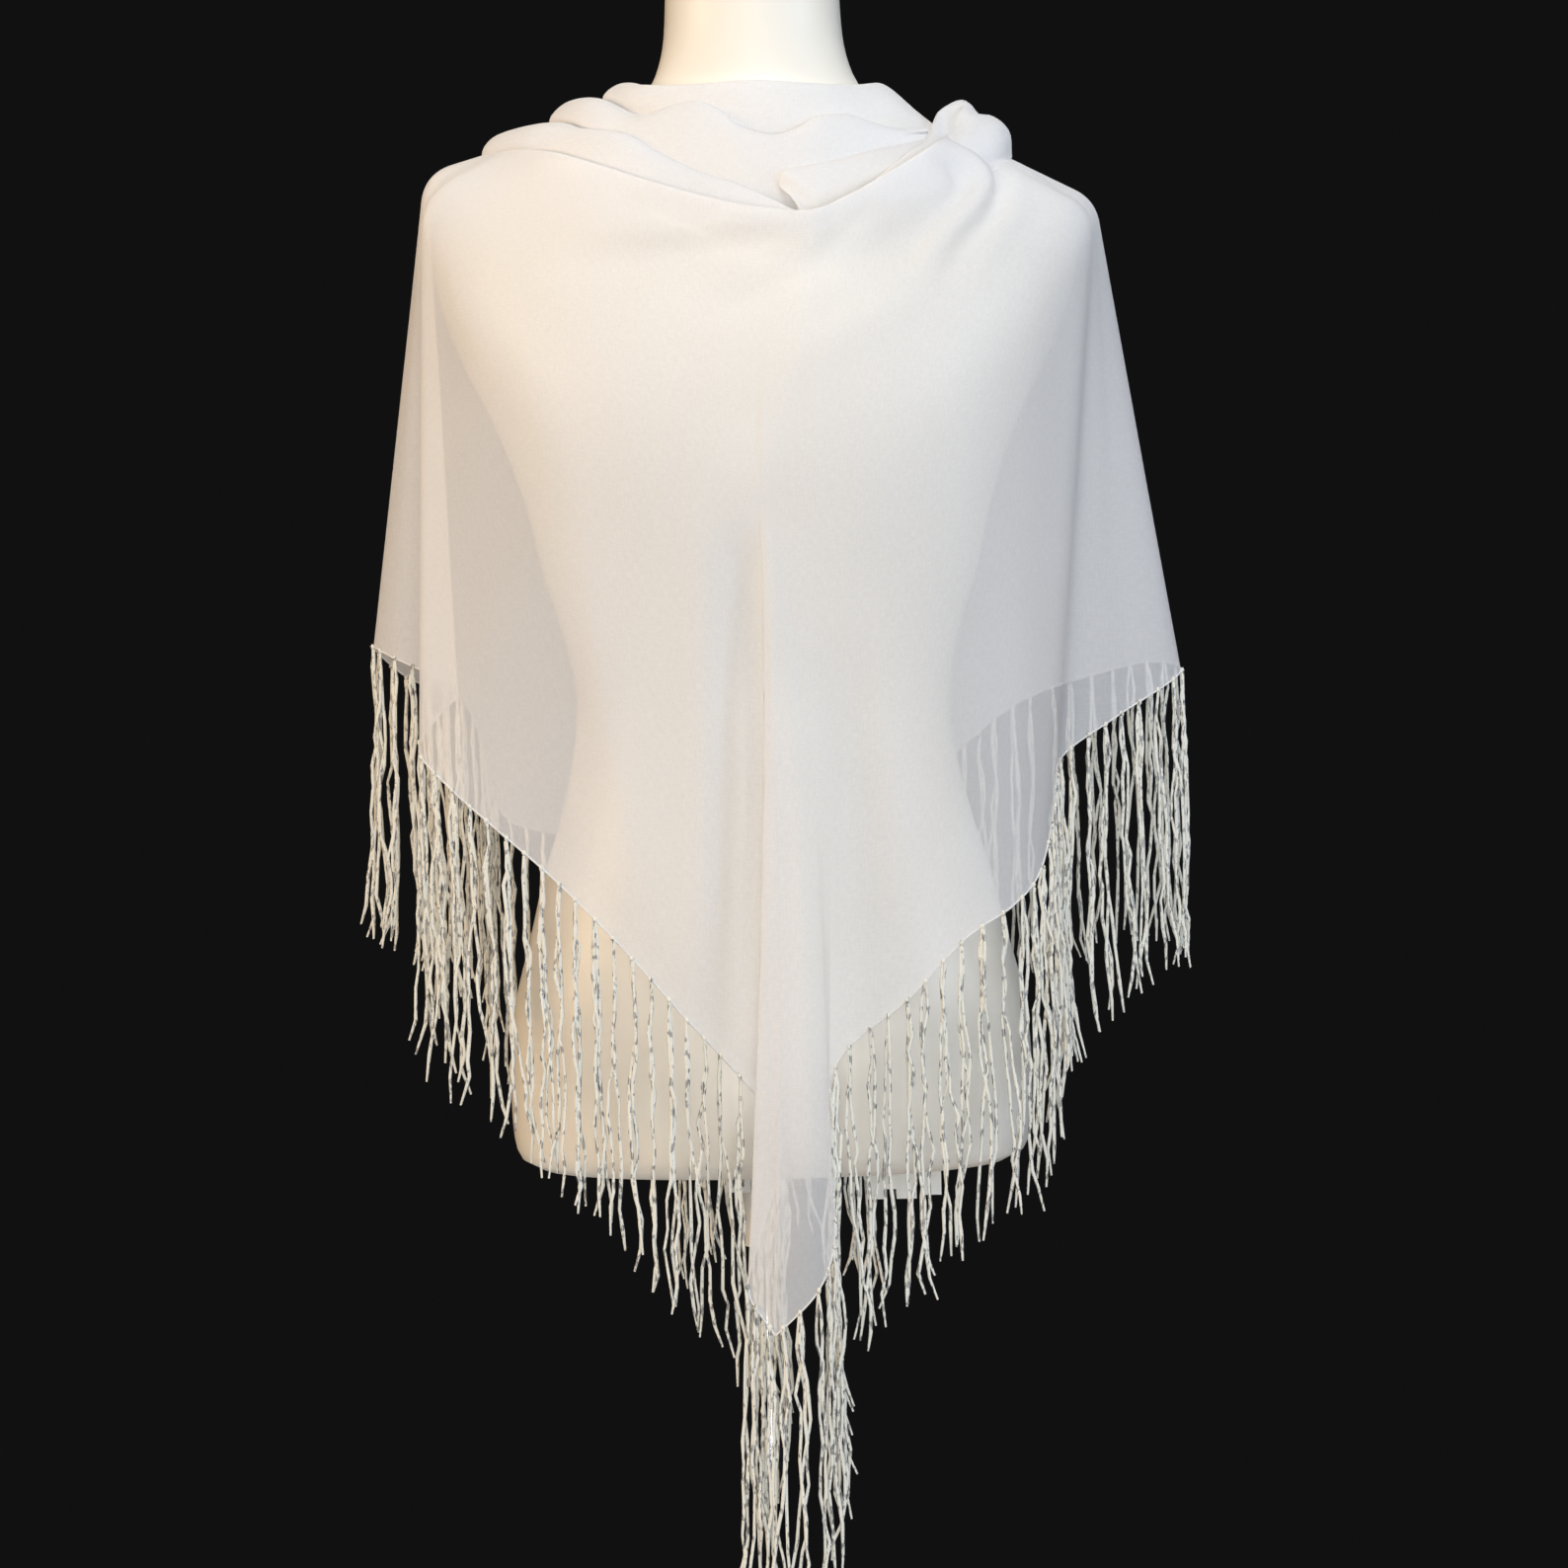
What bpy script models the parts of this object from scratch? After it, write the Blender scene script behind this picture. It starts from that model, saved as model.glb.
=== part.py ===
"""A triangular chiffon shawl with a knotted fringe, draped as a cowl over a limbless dress form on a
round-based pole. Metres, +Z up. The form faces -Y, its left hand side in the view from the front is -X,
and the origin is the centre of the underside of the base."""

import math
from collections import namedtuple

import bmesh
import bpy
import numpy as np
from mathutils import Matrix, Vector

MM = 0.001
UP = np.array((0.0, 0.0, 1.0))

# Cloth, in metres
CLOTH_WALL = 1.3 * MM
SEAM = 0.3 * MM
SEAM_TRIM = 0.35 * MM
CLEAR_OF_FORM = 1.8 * MM

# Fringe, in metres
FRINGE_DROP = 180 * MM
FRINGE_PITCH = 15 * MM
STRAND_WIDTH = 2.2 * MM
STRAND_DEPTH = 1.6 * MM
STRIP_HEIGHT = 2.4 * MM
STRIP_BELOW_HEM = 0.6 * MM
STRAND_STEPS = 2
STRAND_SWAY = 3.2 * MM
STEEP = 0.993

# Stand, in metres
BASE_RADIUS = 145 * MM
BASE_HEIGHT = 12 * MM
BASE_EDGE = 2.5 * MM
BOSS_RADIUS = 21 * MM
BOSS_HEIGHT = 30 * MM
POLE_RADIUS = 10.5 * MM
POLE_X = -5 * MM
SOCKET_WALL = 3.2 * MM
SOCKET_DROP = 46 * MM
ROUND_SIDES = 32

# Underside bracket, in metres
BRACKET_LEFT = -29 * MM
BRACKET_RIGHT = 101 * MM
BRACKET_DEPTH = 34 * MM
BRACKET_PLATE = 5 * MM

# The bracket's lugs, then the cuts in them, in millimetres: from and to across, front to back, and
# down from the form's underside.
BracketBox = namedtuple("BracketBox", "name operation left right front back low high")
BRACKET_BOXES_MM = (
    BracketBox("lug_left", "UNION", -29, -14, -17, 3.4, 17, 4.3),
    BracketBox("lug_block", "UNION", 56, 86, -17, 6.8, 23, 4.3),
    BracketBox("lug_right", "UNION", 90, 101, -17, 0, 21, 4.3),
    BracketBox("lug_left_hole", "DIFFERENCE", -25, -18, -23.8, 17, 14, 6.3),
    BracketBox("lug_block_notch", "DIFFERENCE", 68, 74, -23.8, 17, 26, 17),
)
SOCKET_OVERLAP = 1 * MM
BORE_BELOW = 10 * MM

FORM_SIDES = 36

FormSection = namedtuple("FormSection", "height half_width front back")
FORM_MM = (
    FormSection(605, 141, 88, 98),
    FormSection(608, 149, 96, 106),
    FormSection(616, 155, 101, 112),
    FormSection(650, 158, 104, 117),
    FormSection(700, 155, 104, 119),
    FormSection(745, 144, 100, 109),
    FormSection(782, 135, 96, 96),
    FormSection(817, 124, 91, 84),
    FormSection(853, 116, 87, 74),
    FormSection(889, 113, 87, 73),
    FormSection(926, 120, 94, 78),
    FormSection(962, 131, 105, 85),
    FormSection(1008, 142, 121, 93),
    FormSection(1052, 158, 126, 99),
    FormSection(1093, 178, 118, 102),
    FormSection(1130, 191, 105, 101),
    FormSection(1160, 195, 94, 96),
    FormSection(1180, 188, 85, 88),
    FormSection(1196, 172, 78, 80),
    FormSection(1210, 146, 71, 72),
    FormSection(1224, 115, 66, 65),
    FormSection(1238, 86, 61, 59),
    FormSection(1252, 66, 57, 55),
    FormSection(1275, 56, 54, 52),
    FormSection(1325, 52, 52, 51),
)

# The cloth is a set of fall lines. Each starts at the rim, where the cloth turns inwards, passes the
# brow, where it leaves the form, and falls to the hem. Places are (x, y, z) in millimetres, soft is
# how far the turn at the brow reaches, tuck how far the cloth turns in behind the rim, and bow how far
# the fall swings sideways half way down.
FallLine = namedtuple("FallLine", "name rim brow hem soft tuck bow")
WING_LEFT_MM = (
    FallLine("tip", (74, 143, 688), (73, 150, 680), (72, 154, 664), 4, 2, 0),
    FallLine("inner_low", (62, 138, 830), (54, 148, 780), (36, 155, 694), 20, 2, 0),
    FallLine("inner_middle", (44, 133, 990), (28, 142, 900), (-10, 154, 729), 30, 3, 0),
    FallLine("inner_high", (36, 124, 1132), (6, 138, 1050), (-46, 150, 756), 40, 4, 0),
    FallLine("nape_in", (24, 97, 1206), (-14, 129, 1110), (-70, 145, 775), 42, 5, 0),
    FallLine("nape", (-22, 95, 1208), (-52, 125, 1120), (-98, 138, 797), 45, 6, 0),
    FallLine("blade", (-66, 82, 1212), (-98, 118, 1124), (-130, 120, 826), 45, 6, 0),
    FallLine("behind_arm", (-106, 60, 1214), (-146, 98, 1142), (-158, 97, 852), 40, 6, 0),
    FallLine("rear_turn", (-134, 34, 1217), (-178, 66, 1165), (-188, 68, 884), 30, 6, 0),
    FallLine("arm_back", (-151, 15, 1218), (-191, 34, 1199), (-220, 40, 904), 22, 6, 0),
    FallLine("arm", (-160, 0, 1219), (-199, 4, 1208), (-237, 8, 922), 20, 6, 0),
    FallLine("arm_front", (-159, -8, 1218), (-198, -14, 1205), (-224, -16, 916), 20, 6, 0),
    FallLine("valley", (-155, -16, 1217), (-195, -24, 1199), (-181, -44, 893), 20, 6, 0),
)
FRONT_MM = (
    FallLine("fold_left_in", (-150, -23, 1217), (-196, -30, 1194), (-188, -66, 882), 20, 6, 0),
    FallLine("fold_left", (-143, -31, 1217), (-196, -38, 1188), (-199, -98, 859), 22, 7, 0),
    FallLine("left_4", (-131, -45, 1215), (-182, -60, 1162), (-181, -116, 838), 26, 8, 0),
    FallLine("left_3", (-114, -64, 1210), (-156, -96, 1115), (-155, -128, 815), 40, 9, 0),
    FallLine("left_2", (-88, -84, 1199), (-118, -128, 1082), (-122, -136, 786), 55, 10, 0),
    FallLine("left_1", (-60, -100, 1187), (-78, -142, 1062), (-84, -142, 747), 60, 11, 0),
    FallLine("left_0", (-30, -112, 1176), (-40, -147, 1052), (-44, -145, 701), 60, 12, 0),
    FallLine("pleat_start", (-4, -121, 1168), (-12, -149, 1050), (-14, -146, 664), 60, 12, 0),
    FallLine("pleat_in", (10, -124, 1165), (-1, -150, 1046), (5, -143, 640), 50, 12, 0),
    FallLine("pleat_edge", (22, -126, 1163), (2, -151, 1044), (-15, -164, 556), 50, 12, 5),
    FallLine("tip", (32, -127, 1163), (9, -151, 1044), (-2, -169, 530), 50, 12, 2),
    FallLine("flute_low", (40, -126, 1165), (20, -151, 1046), (22, -167, 548), 50, 12, 0),
    FallLine("flute_turn", (47, -123, 1168), (31, -150, 1048), (34, -158, 578), 50, 12, 0),
    FallLine("flute_in", (54, -120, 1172), (42, -149, 1051), (33.5, -146, 622), 50, 12, 0),
    FallLine("right_0", (63, -115, 1177), (56, -147, 1055), (39, -141, 676), 60, 12, 0),
    FallLine("right_1", (77, -106, 1186), (82, -142, 1066), (80, -140, 713), 60, 11, 0),
    FallLine("right_2", (93, -92, 1197), (120, -126, 1086), (113, -136, 746), 50, 10, 0),
    FallLine("right_3", (106, -77, 1207), (154, -96, 1118), (140, -128, 763), 36, 8, 0),
    FallLine("right_4", (113, -59, 1212), (182, -64, 1150), (156, -112, 779), 26, 5, 0),
    FallLine("fold_right", (116, -43, 1217), (201, -42, 1170), (166, -92, 808), 20, 4, 0),
)
WING_RIGHT_MM = (
    FallLine("turn", (121, -30, 1220), (205, -30, 1172), (171, -66, 832), 18, 3, 0),
    FallLine("valley", (125, -19, 1222), (205, -22, 1174), (177, -46, 847), 16, 3, 0),
    FallLine("wing_1", (128, -10, 1223), (206, -14, 1178), (212, -22, 870), 14, 3, 0),
    FallLine("arm", (130, 0, 1223), (208, 2, 1184), (255, 10, 897), 14, 3, 0),
    FallLine("arm_back", (128, 12, 1223), (205, 28, 1181), (243, 44, 904), 18, 3, 0),
    FallLine("rear_turn", (118, 34, 1219), (186, 62, 1164), (207, 76, 897), 24, 3, 0),
    FallLine("behind_arm", (99, 57, 1215), (152, 94, 1142), (162, 100, 881), 34, 4, 0),
    FallLine("blade", (68, 78, 1210), (104, 112, 1120), (122, 117, 850), 40, 5, 0),
    FallLine("nape", (28, 87, 1206), (60, 116, 1115), (84, 125, 815), 40, 5, 0),
    FallLine("nape_in", (-6, 89, 1205), (34, 118, 1105), (62, 128, 797), 40, 4, 0),
    FallLine("inner_high", (-22, 106, 1122), (2, 119, 1050), (36, 132, 772), 40, 3, 0),
    FallLine("inner_middle", (-38, 110, 990), (-24, 122, 900), (4, 137, 742), 30, 3, 0),
    FallLine("inner_low", (-56, 118, 840), (-48, 129, 790), (-36, 138, 704), 20, 2, 0),
    FallLine("tip", (-70, 126, 694), (-69, 132, 688), (-68, 137, 672), 4, 2, 0),
)

# The cowl is a set of folds nested round the neck. Each rises from its foot, swells outwards, passes its
# rim and turns in. The outer two are open at the right shoulder, where the bunch covers their ends.
CowlLine = namedtuple("CowlLine", "name foot swell rim")
COWL_OUTER_MM = (
    CowlLine("end_back", (85, 52, 1216), (88, 54, 1224), (79, 48, 1232)),
    CowlLine("back_right", (50, 72, 1209), (52, 80, 1227), (46, 74, 1237)),
    CowlLine("back", (0, 79, 1207), (0, 88, 1229), (0, 82, 1238)),
    CowlLine("back_left", (-104, 48, 1212), (-112, 51, 1229), (-94, 46, 1239)),
    CowlLine("left", (-146, 0, 1216), (-154, 0, 1230), (-126, 1, 1236)),
    CowlLine("left_front", (-126, -40, 1215), (-130, -40, 1222), (-99, -42, 1230)),
    CowlLine("swag_1", (-99, -63, 1203), (-102, -66, 1209), (-77, -77, 1212)),
    CowlLine("swag_2", (-72, -82, 1189), (-72, -85, 1196), (-44, -91, 1197)),
    CowlLine("swag_3", (-34, -97, 1171), (-34, -101, 1180), (-12, -101, 1182)),
    CowlLine("low", (16, -107, 1156), (16, -111, 1165), (17, -106, 1172)),
    CowlLine("rise", (46, -104, 1160), (46, -108, 1170), (37, -99, 1193)),
    CowlLine("right_1", (66, -95, 1173), (68, -99, 1182), (57, -90, 1200)),
    CowlLine("right_2", (83, -82, 1186), (86, -85, 1195), (78, -79, 1206)),
    CowlLine("end_right", (98, -66, 1198), (101, -69, 1205), (97, -65, 1211)),
)
COWL_INNER_MM = (
    CowlLine("end_back", (38, 67, 1230), (38, 70, 1240), (36, 66, 1248)),
    CowlLine("back", (0, 72, 1230), (0, 75, 1240), (0, 70, 1248)),
    CowlLine("back_left", (-60, 56, 1235), (-62, 58, 1243), (-54, 50, 1251)),
    CowlLine("left_back", (-103, 28, 1236), (-106, 29, 1243), (-87, 25, 1251)),
    CowlLine("left", (-114, 0, 1237), (-118, 0, 1244), (-99, 0, 1251)),
    CowlLine("left_front", (-90, -35, 1228), (-95, -37, 1235), (-83, -36, 1244)),
    CowlLine("crest", (-59, -68, 1208), (-62, -69, 1216), (-57, -61, 1232)),
    CowlLine("crest_end", (-36, -84, 1190), (-37, -86, 1200), (-34, -74, 1236)),
    CowlLine("dip_left", (-12, -90, 1178), (-12, -93, 1188), (-12, -82, 1224)),
    CowlLine("dip", (16, -92, 1173), (16, -96, 1182), (15, -87, 1213)),
    CowlLine("crest_right", (42, -86, 1186), (42, -88, 1196), (42, -80, 1223)),
    CowlLine("right_1", (66, -76, 1196), (68, -77, 1206), (70, -70, 1224)),
    CowlLine("end_right", (84, -65, 1202), (86, -66, 1211), (86, -60, 1218)),
)
COLLAR_MM = (
    CowlLine("left", (-84, 0, 1246), (-86, 0, 1253), (-70, 0, 1259)),
    CowlLine("left_front", (-69, -36, 1238), (-70, -36, 1244), (-57, -31, 1254)),
    CowlLine("front_left", (-36, -60, 1226), (-36, -61, 1234), (-31, -55, 1248)),
    CowlLine("front", (4, -71, 1213), (4, -72, 1223), (4, -61, 1246)),
    CowlLine("front_right", (42, -68, 1214), (42, -67, 1226), (36, -54, 1248)),
    CowlLine("right_front", (80, -44, 1222), (68, -36, 1239), (54, -33, 1252)),
    CowlLine("right", (107, 0, 1231), (86, 0, 1247), (65, 0, 1257)),
    CowlLine("back_right", (80, 42, 1230), (66, 38, 1246), (50, 36, 1256)),
    CowlLine("back", (0, 60, 1243), (0, 61, 1250), (0, 57, 1257)),
    CowlLine("back_left", (-62, 35, 1241), (-64, 35, 1250), (-52, 34, 1260)),
)

# The bunch is cloth gathered over the right shoulder: its outline across, and its places front to back.
BUNCH_ACROSS_MM = (
    (113, 1230), (118, 1238), (126, 1243), (136, 1242), (142, 1236), (152, 1232), (158, 1223), (157, 1214),
)
BunchPlace = namedtuple("BunchPlace", "y shift drop size")
BUNCH_ALONG_MM = (
    BunchPlace(-58, -8, 14, 0.35),
    BunchPlace(-44, -4, 7, 0.7),
    BunchPlace(-26, -1, 2, 0.92),
    BunchPlace(-4, 0, 0, 1.0),
    BunchPlace(16, -5, 0, 0.88),
    BunchPlace(32, -12, 0, 0.55),
)

# Soft ridges (+) and troughs (-) in the front, on an arc through three (x, z) places, in millimetres.
Crease = namedtuple("Crease", "name start middle end width height")
CREASES_MM = (
    Crease("hook_ridge", (127, 1206), (141, 1184), (98, 1131), 8, 5.0),
    Crease("hook_shadow", (150, 1200), (150, 1176), (110, 1140), 8, -3.0),
    Crease("swag_ridge", (-84, 1172), (-40, 1158), (10, 1154), 9, 2.5),
    Crease("swag_shadow", (-96, 1160), (-46, 1141), (16, 1144), 9, -2.0),
    Crease("drape_right", (92, 1150), (40, 1110), (-20, 1066), 16, 2.0),
    Crease("drape_left", (-176, 1120), (-120, 1040), (-96, 900), 18, 2.5),
    Crease("flute_soft", (-22, 960), (-22, 840), (-26, 700), 11, 3.0),
    Crease("flute_right", (44, 900), (52, 800), (50, 700), 14, -3.0),
    Crease("hip_left", (-92, 930), (-84, 850), (-78, 770), 16, 2.5),
)


def material(name, colour, roughness, metallic=0.0, alpha=1.0):
    made = bpy.data.materials.new(name)
    made.use_nodes = True
    shader = made.node_tree.nodes["Principled BSDF"]
    shader.inputs["Base Color"].default_value = (*colour, 1.0)
    shader.inputs["Roughness"].default_value = roughness
    shader.inputs["Metallic"].default_value = metallic
    shader.inputs["Alpha"].default_value = alpha
    made.diffuse_color = (*colour, alpha)
    return made


def add_object(name, mesh, finish, smooth_angle=40):
    made = bpy.data.objects.new(name, mesh)
    bpy.context.scene.collection.objects.link(made)
    mesh.materials.append(finish)
    mesh.shade_smooth()
    mesh.set_sharp_from_angle(angle=math.radians(smooth_angle))
    return made


def smooth_through(values, where, closed=False):
    """A smooth curve through the rows of values, read at the places in where, counted in rows."""
    values = np.asarray(values, float)
    count = len(values)
    if closed:
        rows = np.arange(-1, count + 2) % count
    else:
        rows = np.clip(np.arange(-1, count + 1), 0, count - 1)
    padded = values[rows]
    if not closed:
        padded[0] = 2 * values[0] - values[1]
        padded[-1] = 2 * values[-1] - values[-2]
    gaps = np.sqrt(np.linalg.norm(np.diff(padded, axis=0), axis=1) + 1e-9)
    last = count if closed else count - 1
    start = np.minimum(np.floor(where).astype(int), last - 1)
    share = (where - start)[:, None]
    before, here, after, beyond = (padded[start + k] for k in range(4))
    gap0, gap1, gap2 = (gaps[start + k][:, None] for k in range(3))
    slope_here = (here - before) / gap0 - (after - before) / (gap0 + gap1) + (after - here) / gap1
    slope_after = (after - here) / gap1 - (beyond - here) / (gap1 + gap2) + (beyond - after) / gap2
    slope_here, slope_after = slope_here * gap1, slope_after * gap1
    square, cube = share**2, share**3
    return (
        (2 * cube - 3 * square + 1) * here
        + (cube - 2 * square + share) * slope_here
        + (-2 * cube + 3 * square) * after
        + (cube - square) * slope_after
    )


def form_reach(points):
    """How far out of the form's surface each point is, as a share of the form's own radius there."""
    heights = np.array([row.height for row in FORM_MM]) * MM
    sizes = np.array([row[1:] for row in FORM_MM]) * MM
    level = np.clip(points[:, 2], heights[0], heights[-1])
    half_width, front, back = (np.interp(level, heights, sizes[:, k]) for k in range(3))
    depth = np.where(points[:, 1] < 0, front, back)
    power = form_power(level)
    across = np.abs(points[:, 0] - form_lean(level)) / half_width
    return (across**power + (np.abs(points[:, 1]) / depth) ** power) ** (1 / power)


def form_power(level):
    """Squareness of the plan outline: 2 is an ellipse, which the neck is, and the trunk is fuller."""
    return 2.25 - 0.25 * np.clip((level - 1.19) / 0.06, 0, 1)


def form_lean(level):
    """The neck stands a little to the right of the waist."""
    return 2.5 * MM * np.clip((level - 1.10) / 0.15, 0, 1)


def clear_of_form(points, gap):
    """Moves each point that is nearer to the form than the gap straight out, to the gap."""
    step = 0.5 * MM
    points = points.copy()
    for _ in range(5):
        reach = form_reach(points)
        slope = np.empty_like(points)
        for axis in range(3):
            shift = np.zeros(3)
            shift[axis] = step
            slope[:, axis] = (form_reach(points + shift) - form_reach(points - shift)) / (2 * step)
        steep = np.linalg.norm(slope, axis=1) + 1e-9
        distance = (reach - 1) / steep
        short = np.maximum(gap - distance, 0)
        points += slope / steep[:, None] * short[:, None]
    return points


def arc_through(start, middle, end, count):
    share = np.linspace(0, 1, count)[:, None]
    bend = 2 * np.array(middle, float) - (np.array(start, float) + np.array(end, float)) / 2
    return (1 - share) ** 2 * start + 2 * share * (1 - share) * bend + share**2 * end


def crease_relief(points):
    """How far the creases lift each point of the front."""
    lift = np.zeros(len(points))
    flat = points[:, [0, 2]] / MM
    for crease in CREASES_MM:
        path = arc_through(crease.start, crease.middle, crease.end, 15)
        fade = np.sin(np.linspace(0.08, 0.92, 15) * math.pi)
        away = np.linalg.norm(flat[:, None, :] - path[None, :, :], axis=2)
        bump = np.exp(-((away / crease.width) ** 2)) * fade
        lift += crease.height * MM * bump.max(axis=1)
    return lift


def turn(before, corner, after, reach, steps):
    """Points round a corner, which starts and ends at most the reach away from it."""
    way_in, way_out = before - corner, after - corner
    length_in = np.linalg.norm(way_in, axis=1)[:, None]
    length_out = np.linalg.norm(way_out, axis=1)[:, None]
    used = np.minimum(reach, 0.45 * np.minimum(length_in, length_out))
    start = corner + way_in / length_in * used
    end = corner + way_out / length_out * used
    share = np.linspace(0, 1, steps)[:, None, None]
    return list((1 - share) ** 2 * start + 2 * share * (1 - share) * corner + share**2 * end)


def between(start, end, steps):
    """Points inside a straight stretch, without its two ends."""
    return [start + (end - start) * (k + 1) / (steps + 1) for k in range(steps)]


def columns_of(places, spacing, closed=False):
    """Where the columns of a sheet stand, counted in rows of its table, about one spacing apart."""
    places = np.asarray(places, float)
    ends = np.roll(places, -1, axis=0) if closed else places[1:]
    lengths = np.linalg.norm(ends - places[: len(ends)], axis=1)
    where = []
    for row, length in enumerate(lengths):
        steps = max(1, round(length / spacing))
        where += [row + k / steps for k in range(steps)]
    return np.array(where if closed else where + [len(places) - 1.0])


def fall_points(rows, spacing=24 * MM):
    """The grid of points of one stretch of cloth: a column for each fall line, a level for each row."""
    rim = np.array([row.rim for row in rows]) * MM
    brow = np.array([row.brow for row in rows]) * MM
    hem = np.array([row.hem for row in rows]) * MM
    extra = np.array([(row.soft, row.tuck, row.bow) for row in rows]) * MM
    where = columns_of(hem, spacing)
    rim, brow, hem, extra = (smooth_through(values, where) for values in (rim, brow, hem, extra))
    soft, tucked, bow = np.split(np.maximum(extra, (3 * MM, 2 * MM, 0)), 3, axis=1)
    tuck = rim + inwards(rim) * tucked * 0.6 - UP * tucked
    over_rim = turn(tuck, rim, brow, 5 * MM, 3)
    over_brow = turn(rim, brow, hem, soft, 4)
    falling = between(over_brow[-1], hem, 3)
    levels = [tuck] + over_rim + between(over_rim[-1], over_brow[0], 2) + over_brow + falling + [hem]
    first = len(levels) - len(falling) - 1
    for k in range(first, len(levels)):
        levels[k] = levels[k] + bow * (1, 0, 0) * math.sin(math.pi * (k - first + 1) / (len(falling) + 1))
    return np.array(levels).transpose(1, 0, 2), where


def inwards(points):
    """The level direction from each point to the neck's axis."""
    way = -points * (1, 1, 0)
    return way / np.linalg.norm(way, axis=1)[:, None]


def cowl_points(rows, closed, spacing=22 * MM):
    """The grid of points of one fold round the neck."""
    foot = np.array([row.foot for row in rows]) * MM
    swell = np.array([row.swell for row in rows]) * MM
    rim = np.array([row.rim for row in rows]) * MM
    where = columns_of(swell, spacing, closed)
    foot, swell, rim = (smooth_through(values, where, closed) for values in (foot, swell, rim))
    tuck = rim + (inwards(rim) - UP) * 4 * MM
    over_swell = turn(foot, swell, rim, 7 * MM, 3)
    over_rim = turn(swell, rim, tuck, 5 * MM, 3)
    levels = [tuck] + over_rim[::-1] + over_swell[::-1] + [foot]
    return np.array(levels).transpose(1, 0, 2)


def sheet_object(name, grid, finish, closed=False):
    """A wall of cloth on a grid of points, thickened outwards."""
    columns, levels = grid.shape[:2]
    quads = []
    for column in range(columns if closed else columns - 1):
        beside = (column + 1) % columns
        for level in range(levels - 1):
            quads.append(
                (
                    column * levels + level,
                    column * levels + level + 1,
                    beside * levels + level + 1,
                    beside * levels + level,
                )
            )
    mesh = bpy.data.meshes.new(name)
    mesh.from_pydata(grid.reshape(-1, 3).tolist(), [], quads)
    made = add_object(name, mesh, finish)
    wall = made.modifiers.new("wall", "SOLIDIFY")
    wall.thickness = CLOTH_WALL
    wall.offset = 1.0
    return made


def outwards(grid):
    """The outward direction at each point of a grid of cloth."""
    along = np.gradient(grid, axis=0)
    down = np.gradient(grid, axis=1)
    normal = np.cross(down, along)
    return normal / (np.linalg.norm(normal, axis=2)[:, :, None] + 1e-12)


def rest_on_form(grid, gap=CLEAR_OF_FORM):
    """Lifts a grid of cloth until its points and the middles of its faces are clear of the form."""
    grid = clear_of_form(grid.reshape(-1, 3), gap).reshape(grid.shape)
    for _ in range(4):
        middle = (grid[:-1, :-1] + grid[1:, :-1] + grid[:-1, 1:] + grid[1:, 1:]) / 4
        flat = middle.reshape(-1, 3)
        lift = (clear_of_form(flat, gap) - flat).reshape(middle.shape)
        needed = np.zeros_like(grid)
        for across in (slice(0, -1), slice(1, None)):
            for down in (slice(0, -1), slice(1, None)):
                part = needed[across, down]
                longer = np.linalg.norm(lift, axis=2) > np.linalg.norm(part, axis=2)
                part[longer] = lift[longer]
        grid = grid + needed
    return grid


def trim_ends(grid, first, last):
    """Sets the first or the last column back from a seam, so that two stretches keep apart."""
    grid = grid.copy()
    for needed, column, beside in ((first, 0, 1), (last, -1, -2)):
        if not needed:
            continue
        step = grid[beside] - grid[column]
        length = np.linalg.norm(step, axis=1)[:, None]
        grid[column] += step / np.maximum(length, SEAM_TRIM) * SEAM_TRIM
    return grid


def make_cloth(chiffon):
    """The front and both wings, cut from one continuous surface at the seams between their tables."""
    tables = (WING_LEFT_MM, FRONT_MM, WING_RIGHT_MM)
    stretches = {}
    for k, (name, table) in enumerate(zip(("wing_left", "front", "wing_right"), tables)):
        rows = list(table)
        if k < len(tables) - 1:
            rows.append(tables[k + 1][0])
        grid, where = fall_points(rows)
        if name == "front":
            lift = crease_relief(grid.reshape(-1, 3)).reshape(grid.shape[:2])
            grid = grid + outwards(grid) * lift[:, :, None]
        grid = rest_on_form(grid)
        grid = trim_ends(grid, k > 0, k < len(tables) - 1)
        sheet_object("shawl_" + name, grid, chiffon)
        columns = {row.name: int(np.searchsorted(where, number)) for number, row in enumerate(table)}
        stretches[name] = grid, columns
    return stretches


def make_cowl(chiffon):
    for name, rows, closed in (
        ("cowl_outer", COWL_OUTER_MM, False),
        ("cowl_inner", COWL_INNER_MM, False),
        ("cowl_collar", COLLAR_MM, True),
    ):
        sheet_object(name, rest_on_form(cowl_points(rows, closed)), chiffon, closed)
    across = np.array(BUNCH_ACROSS_MM, float) * MM
    foot = across[0]
    columns = []
    for place in reversed(BUNCH_ALONG_MM):
        outline = foot + (across - foot) * place.size
        shift, drop = place.shift * MM, place.drop * MM
        columns.append([(x + shift, place.y * MM, z - drop) for x, z in outline])
    sheet_object("cowl_bunch", rest_on_form(np.array(columns).transpose(1, 0, 2)), chiffon)


def unit(rows):
    return rows / np.linalg.norm(rows, axis=1)[:, None]


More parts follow.
